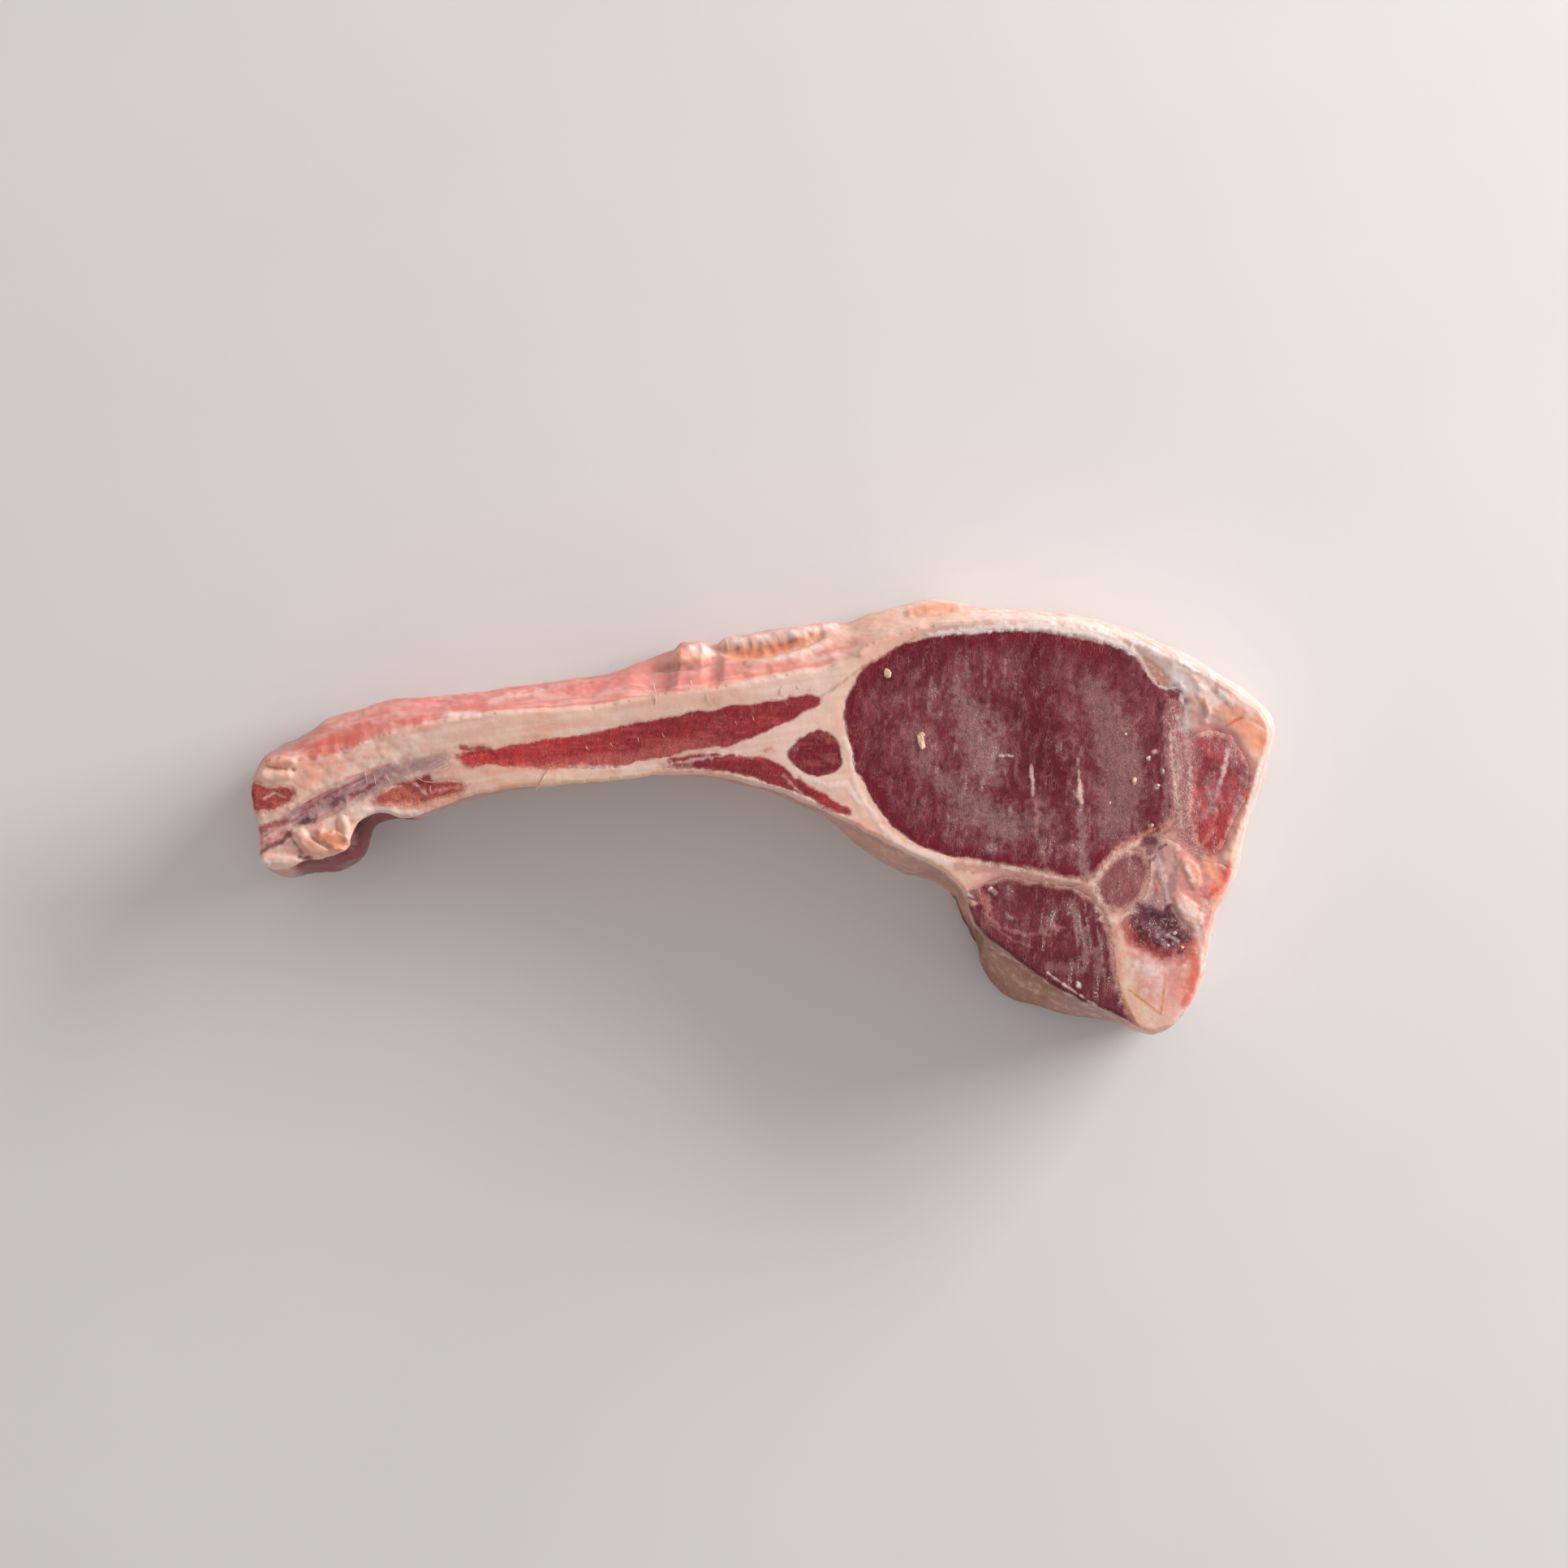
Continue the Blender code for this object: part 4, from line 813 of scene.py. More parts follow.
# %% [markdown]
# ## Colours
# The palette holds the colour that each tissue shows in even light, as shares of red, green and blue
# on a screen. Two things stand between that and a paint: the lamps, and the pale gloss that a moist
# surface adds to everything. Both are taken away once, in linear light, where mixing is done.

# %% Palette
LAMPS = 0.93
GLOSS = 0.016
DARKEST = 0.002


def tone(red, green, blue):
    """Screen colour in 0..255 as linear paint: ((c + 0.055) / 1.055) to the power 2.4, less gloss."""
    c = np.array([red, green, blue]) / 255.0
    linear = np.where(c <= 0.04045, c / 12.92, ((c + 0.055) / 1.055) ** 2.4)
    return np.maximum((linear - GLOSS) / LAMPS, DARKEST)


SCREEN_TONES = {
    "eye": (118, 54, 62), "eye deep": (94, 32, 42), "eye pink": (170, 116, 114), "eye rim": (114, 40, 50),
    "frost": (168, 134, 130), "fleck": (220, 198, 190), "strip": (162, 60, 64), "strip dark": (134, 48, 55),
    "strip pale": (196, 112, 104), "island": (118, 44, 52), "chine": (119, 59, 66), "back": (178, 84, 90),
    "spinal": (148, 90, 90), "marrow": (104, 54, 64), "flank": (164, 76, 71), "veil": (166, 108, 108),
    "seam": (190, 136, 126), "skin": (215, 132, 121), "cream": (228, 185, 165), "warm": (226, 166, 142),
    "white": (230, 211, 204), "pink": (220, 144, 136), "rose": (212, 100, 88), "red": (202, 72, 66),
    "bright red": (214, 60, 52), "orange": (234, 154, 122), "deep orange": (206, 124, 86),
    "golden": (196, 132, 76), "pale yellow": (226, 196, 166), "bone": (214, 160, 146),
    "gristle": (170, 128, 125), "grey": (172, 138, 134), "purple": (112, 64, 74), "dark": (84, 40, 50),
    "brown": (140, 90, 74), "sinew": (222, 186, 172), "sinew brown": (184, 128, 104),
    "inner": (200, 139, 120), "block": (178, 130, 112), "deep lump": (138, 72, 72), "lilac": (178, 136, 136),
}
TONES = {name: tone(*colour) for name, colour in SCREEN_TONES.items()}
NODE_TONES = {
    "eye_muscle": "eye", "island_muscle": "island", "rib_muscle": "strip", "inner_muscle": "strip",
    "back_muscle": "back", "chine_muscle": "chine", "spinal_muscle": "spinal", "vertebra": "bone",
    "marrow": "marrow", "flank_tip_muscle": "flank", "flank_sheet": "lilac", "flank_muscle": "flank",
    "fat": "cream",
}


def blend(colour, name, weight):
    """The colours moved towards a named tone by a weight for each point."""
    return colour + (TONES[name] - colour) * np.clip(weight, 0.0, 1.0)[:, None]


def painted(colour, layers):
    """The colours after layers of (tone, weight) go on, one over the other."""
    for name, weight in layers:
        colour = blend(colour, name, weight)
    return colour


print(len(TONES), "tones")

# %% [markdown]
# ## Painting lean meat
# A cut across a muscle shows its bundles: dark and light flecks drawn out along the way the blade
# went. Most of the eye is dulled by frost in upright streaks, but a belt along its left and lower
# edge and a maroon band down its middle stay clean and dark. Two numbers are handed on with the
# colour: frost, so that the finish can turn rough and flecked, and fibre, which says how strongly
# the fine grain of lean meat shows.

# %% Lean meat
BELT = (1.2, 3.6)
MAROON_MIDDLE = 5.5
STREAK_ANGLE = 86.0


def paint_eye(colour, clouds, depth, x, y):
    """Colour and frost of the eye muscle, where depth is the way in from its edge.

    Frost is the product of patches, streaks and grit, less on the belt, on the maroon band down the
    middle and towards the clean upper right.
    """
    along, across = turned(x, y, STREAK_ANGLE)
    belt = ramp(depth + 0.5 * noise(62, x / 2, y / 2), BELT[1], BELT[0]) * ramp(x, 21, 15)
    streaks = ramp(layered(63, 4, across / 0.7, along / 3.6), -0.15, 0.6)
    patches = ramp(layered(64, 5, x / 2.6, y / 3.4), -0.3, 0.6)
    grit = ramp(layered(60, 3, x / 0.9, y / 1.3), -0.35, 0.45)
    pores = ramp(-layered(59, 3, x / 0.8, y / 1.1), 0, 0.5)
    clean = (1 - 0.55 * ramp(x, 9, 18)) * (1 - 0.5 * ramp(y, 9, 14))
    middle = np.abs(x - MAROON_MIDDLE + noise(65, y / 4, y * 0) * 1.5)
    maroon = ramp(middle, 5.5, 2.5) * ramp(y, -10, -4)
    frost = (0.12 + 0.42 * ramp(x, -20, -4)) * (1 - belt) * patches * (0.3 + 0.9 * streaks)
    frost = frost * (0.45 + 0.9 * grit) * clean * (1 - 0.7 * maroon)
    return painted(colour, [
        ("eye deep", 0.5 * ramp(clouds, -0.2, 0.9) + 0.3 * maroon),
        ("eye rim", belt * 0.85),
        ("eye pink", 0.22 * ramp(-clouds, 0.1, 0.9) * (1 - belt)),
        ("eye deep", 0.45 * pores * (1 - belt)),
        ("eye pink", 0.2 * grit * (0.3 + streaks) * (1 - belt) * (1 - 0.5 * maroon) * clean),
        ("frost", 0.6 * frost),
    ]), frost


def paint_lean(node, depth, x, y):
    """Colour and frost of a cut muscle: clouds of deep and pink, and grain along the saw's way.

    Each kind of muscle adds its own layers to its base tone; depth is the way in from its edge.
    """
    colour = np.tile(TONES[NODE_TONES[node]], (x.size, 1))
    along, across = turned(x, y, STREAK_ANGLE)
    clouds = layered(61, 3, x / 4.5, y / 6)
    frost = np.zeros(x.size)
    layers = []
    if node == "eye_muscle":
        return paint_eye(colour, clouds, depth, x, y)
    if node in ("chine_muscle", "spinal_muscle"):
        streaks = ramp(layered(66, 4, across / 0.6, along / 4), -0.3, 0.9)
        frost = streaks * ramp(layered(67, 4, x / 2, y / 3), -0.5, 0.8)
        low = ramp(y, -30, -36)
        layers += [
            ("eye deep", 0.6 * ramp(clouds, -0.3, 0.6)),
            ("eye deep", 0.4 * low),
            ("frost", 0.45 * frost * (1 - 0.5 * low)),
        ]
    if node == "back_muscle":
        veil = ramp(layered(68, 4, across / 1, along / 2.4), -0.25, 0.85)
        frost = veil * 0.7
        layers += [
            ("eye deep", 0.35 * ramp(clouds, -0.1, 0.7)),
            ("red", 0.35 * ramp(y, -8, -14) + 0.15 * ramp(-clouds, 0.1, 0.6)),
            ("frost", 0.55 * veil),
        ]
    if node in ("rib_muscle", "inner_muscle", "island_muscle"):
        grain = layered(69, 3, x / 3, y / 0.6)
        frost = 0.25 * ramp(layered(70, 3, x / 2, y / 1.2), 0, 0.8)
        layers += [
            ("strip dark", 0.6 * ramp(grain + clouds * 0.6, -0.3, 0.7)),
            ("strip pale", 0.25 * ramp(-grain, 0, 0.8)),
        ]
    if node == "rib_muscle":
        above = y - (-3.4 + 0.145 * (x + 80.0))
        faded = ramp(above + 0.5 * noise(71, x / 3, y / 3), 2.2, -0.4) * ramp(x, -40, -56)
        layers += [
            ("red", 0.42 * ramp(x, -58, -80)),
            ("strip pale", 0.5 * ramp(faded, 0.2, 1)),
            ("strip dark", 0.55 * ramp(x, -70, -46) * ramp(above, 1, 4)),
        ]
    if node == "marrow":
        specks = layered(74, 3, x / 0.7, y / 0.7)
        frost = 0.6 * ramp(-specks, -0.2, 0.6)
        layers += [
            ("dark", 0.7 * ramp(specks + clouds * 0.4, -0.2, 0.5)),
            ("grey", 0.4 * ramp(-specks, 0.1, 0.7)),
        ]
    if node in ("flank_muscle", "flank_tip_muscle"):
        grain = layered(75, 3, (x - 2 * y) / 3, (y + 0.5 * x) / 0.7)
        frost = 0.25 * ramp(noise(76, x / 0.6, y / 0.6), 0.1, 0.7)
        layers += [
            ("strip dark", 0.35 * ramp(grain, 0, 0.8)),
            ("strip pale", 0.4 * ramp(-grain, 0, 0.8)),
            ("orange", 0.2 * ramp(y + 0.4 * (x + 95), -8, -10.5) * ramp(x, -110, -104)),
            ("strip dark", 0.5 * ramp(x, -122, -117.5) * ramp(x, -112, -115)),
        ]
    return painted(colour, layers), frost


print("belt of the eye:", BELT[0], "to", BELT[1], "mm from its edge")

# %% [markdown]
# The flank's membranes are sheets seen on edge. Their streaks run with the sheet, so the noise is
# stretched a lot along it: grey-lilac over most, dark red between the layers towards the end.

# %% Membranes
SHEET_ANGLE = 27.0


def paint_sheet(x, y):
    """Colour and frost of the flank's membranes: bands across, drawn out along the sheet."""
    along, across = turned(x, y, SHEET_ANGLE)
    bands = layered(77, 3, across / 0.75, along / 9)
    fine = layered(78, 3, across / 0.3, along / 4)
    end = ramp(x, -104, -118)
    return painted(np.tile(TONES["lilac"], (x.size, 1)), [
        ("deep lump", (0.45 + 0.4 * end) * ramp(bands, 0.05, 0.45)),
        ("strip", (0.1 + 0.5 * end) * ramp(bands, 0.25, 0.6)),
        ("pink", (0.45 + 0.3 * end) * ramp(-bands, 0.05, 0.5)),
        ("sinew", 0.5 * ramp(fine, 0.1, 0.7)),
        ("grey", 0.3 * ramp(-fine, 0.1, 0.7)),
        ("cream", 0.6 * ramp(x, -99, -90)),
    ]), 0.2 * ramp(fine, 0.2, 0.7)


print("sheet lies at", SHEET_ANGLE, "degrees")

# %% [markdown]
# ## Painting fat and bone
# Fat is never one colour. Slow noise makes warm and pale clouds, and noise drawn out along the tail
# gives its faint ridges. The cap's far end is tinted orange, and blood has stained it near the bone.
# Beyond the cut, on the outside of the tail, lies the pink skin: its border runs along the tail, and
# its streaks too.

# %% Fat and bone
TAIL_SLOPE = 0.15
SKIN_BORDER_X = [-124, -121, -115, -110, -104.6, -98, -92.5, -85, -78, -71, -66, -59,
                 -53, -47, -41, -36, -30.5, -24, -16]
SKIN_BORDER_Y = [-2.5, -1.5, -0.9, 0.5, 2.3, 4.4, 5.4, 6.6, 7.2, 7.2, 7.8, 9,
                 9.7, 10.6, 12, 13.6, 15.3, 18.6, 22]
FACE_HEIGHT = 24.0
DULLING = np.array([0.33, 0.25, 0.13])


def skin_weight(x, y):
    """1 on the pink skin outside its border, 0 on the cut face."""
    border = np.interp(x, SKIN_BORDER_X, SKIN_BORDER_Y)
    wavy = 0.35 * layered(40, 3, x / 3, y / 2)
    return ramp(y - border + wavy, -0.25, 0.3) * ramp(x, -20, -24)


def along_tail(x, y):
    """Coordinates along the tail and across it: the tail rises by TAIL_SLOPE."""
    return x + TAIL_SLOPE * y, y - TAIL_SLOPE * x


def paint_skin(colour, x, y, z, weight):
    """The pink skin laid over a colour: rose patches, white threads of membrane, a paler loin end."""
    along, across = along_tail(x, y)
    threads = layered(84, 4, along / 5, (across - 0.5 * z) / 0.9)
    patches = layered(85, 3, along / 7, (across - 0.3 * z) / 3)
    return painted(colour, [
        ("skin", weight),
        ("rose", weight * 0.6 * ramp(patches + 0.3 * threads, -0.1, 0.6) * ramp(x, -20, -80)),
        ("white", weight * 0.32 * ramp(threads, 0.05, 0.5)),
        ("orange", weight * 0.4 * ramp(-patches, 0.1, 0.6)),
        ("warm", weight * 0.5 * ramp(x, -70, -35) * ramp(patches + threads, -0.4, 0.4)),
    ])


def paint_fat(own, x, y):
    """Colour and frost of cut fat: warm and white clouds, ridges that follow the tail, dull ends.

    own is the seam distance, below 0 inside. The cap and the upper right are darkened by DULLING.
    """
    clouds = layered(41, 3, x / 6, y / 3.5)
    grains = layered(43, 3, x / 1.6, y / 1.6)
    along, across = along_tail(x, y)
    ridges = layered(42, 3, along / 9, across / 0.6)
    right = ramp(x, 22, 30)
    tinted = ramp(x + 4 * clouds + 2 * grains, 29, 37) * ramp(y, -6, 2)
    tail_end = ramp(x, -88, -100)
    colour = painted(np.tile(TONES["cream"], (x.size, 1)), [
        ("warm", 0.8 * ramp(clouds, -0.2, 0.7) * (1 - 0.6 * ramp(x, -46, -36))),
        ("pale yellow", 0.2 * ramp(-clouds, 0, 0.6)),
        ("white", 0.35 * ramp(ridges, 0, 0.7) * ramp(x, -20, -30)),
        ("pink", 0.15 * ramp(-ridges, 0, 0.7)),
        ("white", 0.6 * ramp(grains, 0, 0.6) * ramp(x, -8, 4)),
        ("orange", 0.45 * right * tinted),
        ("pink", 0.3 * tail_end * ramp(grains, 0, 0.5)),
        ("white", 0.35 * tail_end * ramp(-grains, 0.1, 0.5)),
        ("seam", 0.85 * ramp(own, -1.5, -0.7) * smeared(x, y)),
        ("white", 0.3 * ramp(x, -50, -44) * ramp(x, -26, -32)),
    ])
    cap = 0.75 * ramp(x, -20, -10) * ramp(y, 14, 18)
    dulled = np.maximum(cap, ramp(x, 6, 22) * ramp(y, -3, 6)) * ramp(x, 42, 34)
    colour = colour * (1 - dulled[:, None] * DULLING)
    return paint_skin(colour, x, y, FACE_HEIGHT, skin_weight(x, y)), 0.2 * ramp(ridges, 0.1, 0.8)


def paint_bone(x, y):
    """Colour and frost of the split vertebra: pale pink bone, creamier at its tip, redder outside."""
    speckle = layered(44, 4, x / 1.4, y / 1.4)
    return painted(np.tile(TONES["bone"], (x.size, 1)), [
        ("white", 0.65 * ramp(speckle, -0.1, 0.7)),
        ("pink", 0.6 * ramp(layered(45, 3, x / 3, y / 3), -0.2, 0.6)),
        ("rose", 0.2 * ramp(x + 0.35 * (y + 30) + speckle, 27, 31)),
        ("cream", 0.7 * ramp(y + speckle, -41, -45)),
    ]), 0.3 * ramp(speckle, 0.1, 0.8)


print("skin border:", len(SKIN_BORDER_X), "points")

# %% [markdown]
# ## Painting a cut face
# Each piece gets the rule for its tissue. At the border it also takes on half of its neighbour's tone,
# in a band that is wide where the saw smeared the seams. The listed marks go on last. Fibre is 1
# on lean meat, 0 on fat, bone and membrane, and some marks bring it with them.

# %% Cut face
WITHOUT_FIBRE = ("fat", "vertebra", "flank_sheet")
MEATY = ("veil", "eye deep", "strip", "strip dark", "purple", "dark", "eye pink")
FROSTED = ("frost", "veil")


def neighbour_tones(node, x, y):
    """Tone of the nearest other node at each point."""
    own = np.stack([read_map(soft_map[other], x, y) for other in NODES])
    own[NODES.index(node)] = np.inf
    return np.array([TONES[NODE_TONES[other]] for other in NODES])[own.argmin(axis=0)]


def paint_cut(node, x, y, with_marks):
    """Colour, frost and fibre of a sawn face, at places given on the upper face."""
    own = seam_distances(x, y)[node]
    fibre = np.full(x.size, 0.0 if node in WITHOUT_FIBRE else 1.0)
    if node == "fat":
        colour, frost = paint_fat(own, x, y)
    elif node == "vertebra":
        colour, frost = paint_bone(x, y)
    elif node == "flank_sheet":
        colour, frost = paint_sheet(x, y)
    else:
        colour, frost = paint_lean(node, -own, x, y)
    thin = smeared(x, y)
    width = 0.1 + 0.9 * thin + 0.45 * ramp(x, -88, -94)
    share = 0.5 * (1 - ramp(-own + 0.25 * thin * noise(48, x, y), 0, width))
    if node == "fat":
        fibre = fibre + share
    colour = colour + (neighbour_tones(node, x, y) - colour) * share[:, None]
    membrane = ramp(np.abs(own), 0.3, 0.02) * ramp(noise(46, x / 2.5, y / 2.5), -0.6, 0.6)
    colour = blend(colour, "sinew", 0.5 * membrane * (1 - thin))
    if with_marks:
        for name, strength, _, weight in marks_at(FACE_MARKS + SIDE_MARKS, x, y):
            colour = blend(colour, name, strength * weight)
            if name in FROSTED:
                frost = np.maximum(frost, 0.6 * weight * strength)
            if name in MEATY:
                fibre = np.maximum(fibre, weight)
    return colour, frost, fibre


print("tones that bring fibre with them:", ", ".join(MEATY))

# %% [markdown]
# ## Painting the side
# The skin on the outside of the cap is pink and streaked with red. Towards the loin it is cream. The
# side that faces the hollow of the chop is the smooth brownish lining of the ribs. The foot's side
# is old, dulled meat under a grey skin, and below the tail's end hang two dark wet lumps. The dark
# at their top, in the gap under the tail, is painted shade, and their lilac is wet membrane with a
# painted sheen. The side that faces the window is painted darker all over as painted shade, with a
# white band at its top that is partly white fat and partly a painted highlight.

# %% The side
def paint_side(x, y, z, share, out_x, out_y):
    """Colour, frost and fibre of the outer side, by place and by which way (out_x, out_y) it faces.

    share is the height as a share of the wall's, 0 at the bottom. Each layer's weight is a product of
    ramps that say where it lies.
    """
    clouds = layered(81, 3, x / 5, y / 5, z / 5)
    fine = layered(83, 3, x / 1.3, y / 1.3, z / 1.3)
    outward = ramp(out_y, 0, 0.4)
    hollow = ramp(-out_y, 0.05, 0.4) * ramp(x, 14, 8)
    right = ramp(x, 14, 24)
    facing_window = ramp(out_x, 0.1, 0.6)
    colour = painted(np.tile(TONES["cream"], (x.size, 1)), [
        ("warm", 0.7 * ramp(clouds, -0.3, 0.5)),
        ("pale yellow", 0.2 * ramp(-clouds, 0, 0.6)),
        ("white", 0.7 * outward * ramp(x, -14, 0) * ramp(fine, -0.3, 0.6)),
        ("pink", 0.4 * outward * ramp(x, -14, 0) * ramp(-fine, 0, 0.6)),
    ])
    colour = painted(paint_skin(colour, x, y, z, outward * ramp(x, -22, -27)), [
        ("inner", 0.8 * hollow),
        ("grey", 0.6 * hollow * ramp(clouds, 0, 0.5)),
        ("sinew", 0.5 * hollow * ramp(fine, 0.1, 0.8)),
        ("orange", 0.5 * right * ramp(clouds, -0.5, 0.5)),
        ("rose", 0.6 * right * ramp(-clouds, -0.1, 0.6) * ramp(y, -12, -24)),
        ("white", 0.6 * right * ramp(fine, 0, 0.6)),
        # On the side that faces the window: a white band at the top, partly white fat and partly a painted
        # highlight.
        ("white", 0.7 * facing_window * ramp(share, 0.97, 0.85)),
    ])
    # Painted shade: the side that faces the window is darkened, so that the lamp does not burn it out.
    colour = colour * (1 - 0.22 * facing_window)[:, None]
    block = ramp(x + 0.3 * clouds, -6, -3.5) * ramp(x, 21, 17) * ramp(y, -26, -29)
    lumps = ramp(x, -99.5, -101.5) * ramp(-out_y, -0.1, 0.3)
    lumps = lumps * ramp(x, -121.5, -119.5) * ramp(share, 0.93, 0.8)
    colour = painted(colour, [
        ("block", block),
        ("brown", 0.5 * block * ramp(clouds, -0.2, 0.5)),
        ("grey", 0.75 * block * ramp(x + 2 * clouds, 8, 12) * ramp(share, 0.35, 0.55)),
        ("sinew", 0.6 * block * ramp(fine, 0, 0.7)),
        ("brown", 0.7 * block * ramp(share + 0.1 * clouds, 0.45, 0.2)),
        ("deep lump", lumps),
        # Painted shade: the lumps darken towards the gap under the tail above them.
        ("dark", 0.7 * lumps * ramp(share + 0.1 * clouds, 0.6, 0.85)),
        # Lilac patches on the lumps: wet membrane, partly a painted sheen.
        ("lilac", 0.6 * lumps * ramp(layered(86, 3, x / 2.5, y / 2.5, z / 2.5), 0, 0.6)),
        ("strip", 0.4 * lumps * ramp(-fine, 0, 0.6)),
    ])
    for name, strength, _, weight in marks_at(SIDE_MARKS, x, y):
        colour = blend(colour, name, strength * weight * ramp(share, 0.15, 0.4))
    return colour, 0.15 * ramp(fine, 0, 0.7), 0.8 * lumps + 0.3 * block


one = np.ones(1)
under_foot = paint_side(8 * one, -38 * one, 12 * one, 0.5 * one, 0 * one, -one)[0]
print("paint half way up the foot's side:", np.round(under_foot[0], 2))

# %% [markdown]
# ## The shape of the upper face
# The saw left one nearly flat face. Each piece is domed by a hair, so the seams dip, and lean meat
# keeps the saw's streaks. Round the outside the face rolls over into the side. Fat is lumpy where it
# is soft, most of all at the tail's torn end and beside the bone.

# %% Heights
EDGE_ROUND = 0.7
ALMOST_ALL = 0.9995
OVERLAP = 0.3
SINK = 0.05
SINK_AT_EDGE = 6


def round_off(away, radius):
    """Drop of a rounded edge: radius - sqrt(radius^2 - t^2), where t runs up over the last radius."""
    t = np.clip(away + radius, 0.0, radius * ALMOST_ALL)
    return radius - np.sqrt(radius**2 - t**2)


def top_height(node, x, y):
    """Height of a piece's upper face: the solid's, domed, lumped and streaked, and rolled at the edge.

    Neighbours overlap by OVERLAP mm. There a piece sinks, most near the outer side, so that only one
    of the two shows.
    """
    own = seam_distances(x, y)[node]
    is_lean = node.endswith("muscle")
    torn = ramp(x, -93, -106) + 0.6 * ramp(x, 25, 32)
    skin = skin_weight(x, y)
    height = read_map(base_height, x, y) + 0.05 * (ramp(-own, -0.1, 1.5) - 0.5)
    height = height + (0.04 + 0.14 * torn + 0.1 * skin) * layered(51, 3, x / 2.6, y / 2.2)
    height = height + (0.008 + 0.025 * torn + 0.02 * skin) * layered(52, 2, x / 0.8, y / 0.7)
    along, across = turned(x, y, STREAK_ANGLE)
    height = height + (0.02 if is_lean else 0.004) * layered(53, 3, across / 0.6, along / 2.5)
    along, across = along_tail(x, y)
    ridges = 0 if is_lean else 0.02 * layered(50, 3, along / 8, across / 0.8)
    height = height + ridges * ramp(x, -20, -30)
    for _, _, rise, weight in marks_at(FACE_MARKS, x, y):
        height = height + rise * weight
    away = edge_distance(x, y)
    sink = SINK * (1 + SINK_AT_EDGE * ramp(away, -1.8, -1)) * ramp(own, 0, OVERLAP)
    return height - round_off(away, EDGE_ROUND) - sink


def side_rise(x, y):
    """Lift of the side's points by the marks there, such as the hollow behind the flap."""
    lift = np.zeros(x.shape)
    for _, _, rise, weight in marks_at(SIDE_MARKS, x, y):
        lift = lift + rise * weight
    return lift


def side_relief(x, y, z, share, out_x, out_y):
    """How far the side stands out from the solid's, in mm: soft lumps, and the swellings named below.

    shoulder: the tail's end; flap: two swellings of loose skin and a dip before them; notch: between
    the foot and the hollow; under: two hanging lumps with a gap above them.
    """
    middle = np.sin(np.pi * np.clip(share, 0.0, 1.0)) ** 0.5
    outward = ramp(out_y, 0.2, 0.6)
    lumps = 0.4 * layered(54, 3, x / 5, y / 5, z / 6) + 0.08 * layered(55, 2, x, y, z)
    shoulder = 1.8 * ramp(x, -121.5, -115) * ramp(x, -94, -106) * outward
    flap = ramp(x, -56.6, -55.2) * ramp(x, -50, -51.6) + ramp(x, -49.2, -47.4) * ramp(x, -26, -30)
    flap = (1.3 * flap - 1.2 * ramp(x, -64, -60) * ramp(x, -56.4, -57.6)) * outward
    notch = -2.4 * ramp(x, -17, -11) * ramp(x, -3.6, -5.4)
    notch = notch * ramp(-out_y, 0.1, 0.5) * ramp(share, 0.95, 0.7)
    under = ramp(x, -99, -101.5) * ramp(-out_y, 0, 0.3) * ramp(x, -121.5, -119.5)
    bulge = 0.9 * np.sin((x + 3 * z / 20) / 2.6) * ramp(share, 0.85, 0.5)
    gap = -1.6 * np.exp(-(((share - 0.83) / 0.07) ** 2))
    return middle * (lumps + shoulder + flap + notch + under * bulge) + under * gap


print("edges rolled over", EDGE_ROUND, "mm")

# %% [markdown]
# ## From a region to a closed mesh
# A grid of points covers the region. Squares wholly inside give two triangles and those with one
# corner outside give one. Points that hang on by one corner are dropped, because a wall built on them
# would meet itself, and so is all but the largest part.

# %% Border and largest part of a region
def border_edges(triangles):
    """Directed edges that no other triangle runs along the other way."""
    ends = triangles[:, [0, 1, 1, 2, 2, 0]].reshape(-1, 2)
    size = int(triangles.max()) + 1
    forth, back = ends[:, 0] * size + ends[:, 1], ends[:, 1] * size + ends[:, 0]
    return ends[~np.isin(forth, back)]


def largest_part(triangles, count):
    """The biggest joined-up part: every point takes the least number among its neighbours in turn."""
    label = np.arange(count)
    while True:
        least = label[triangles].min(axis=1)
        lower = label.copy()
        np.minimum.at(lower, triangles.ravel(), np.repeat(least, 3))
        lower = lower[lower]
        if (lower == label).all():
            break
        label = lower
    found = label[triangles[:, 0]]
    labels, sizes = np.unique(found, return_counts=True)
    return triangles[found == labels[sizes.argmax()]]


print("border of one triangle:", border_edges(np.array([[0, 1, 2]])).tolist())

# %% [markdown]
# At the end the border's points slide out onto the outline, so that the edge comes out smooth although
# the grid is square. Each slides down the slope of the distance, and by no more than three steps of
# the grid, so that it can't jump across a narrow strip.

# %% Filling a region
SLOPE_STEP = 0.1
SLIDES = 4
MOST_STEPS = 3.0


def slide_to_outline(distance, points, most):
    """Points moved down the slope of the distance until it is zero, by no more than a limit."""
    x, y = points.T
    for _ in range(SLIDES):
        away = distance(x, y)
        slope_x = (distance(x + SLOPE_STEP, y) - away) / SLOPE_STEP
        slope_y = (distance(x, y + SLOPE_STEP) - away) / SLOPE_STEP
        size = np.maximum(slope_x**2 + slope_y**2, 0.3)
        x, y = x - away * slope_x / size, y - away * slope_y / size
    moved = np.stack([x, y], axis=1) - points
    length = np.maximum(np.linalg.norm(moved, axis=1, keepdims=True), 1e-9)
    return points + moved * np.minimum(1.0, most / length)


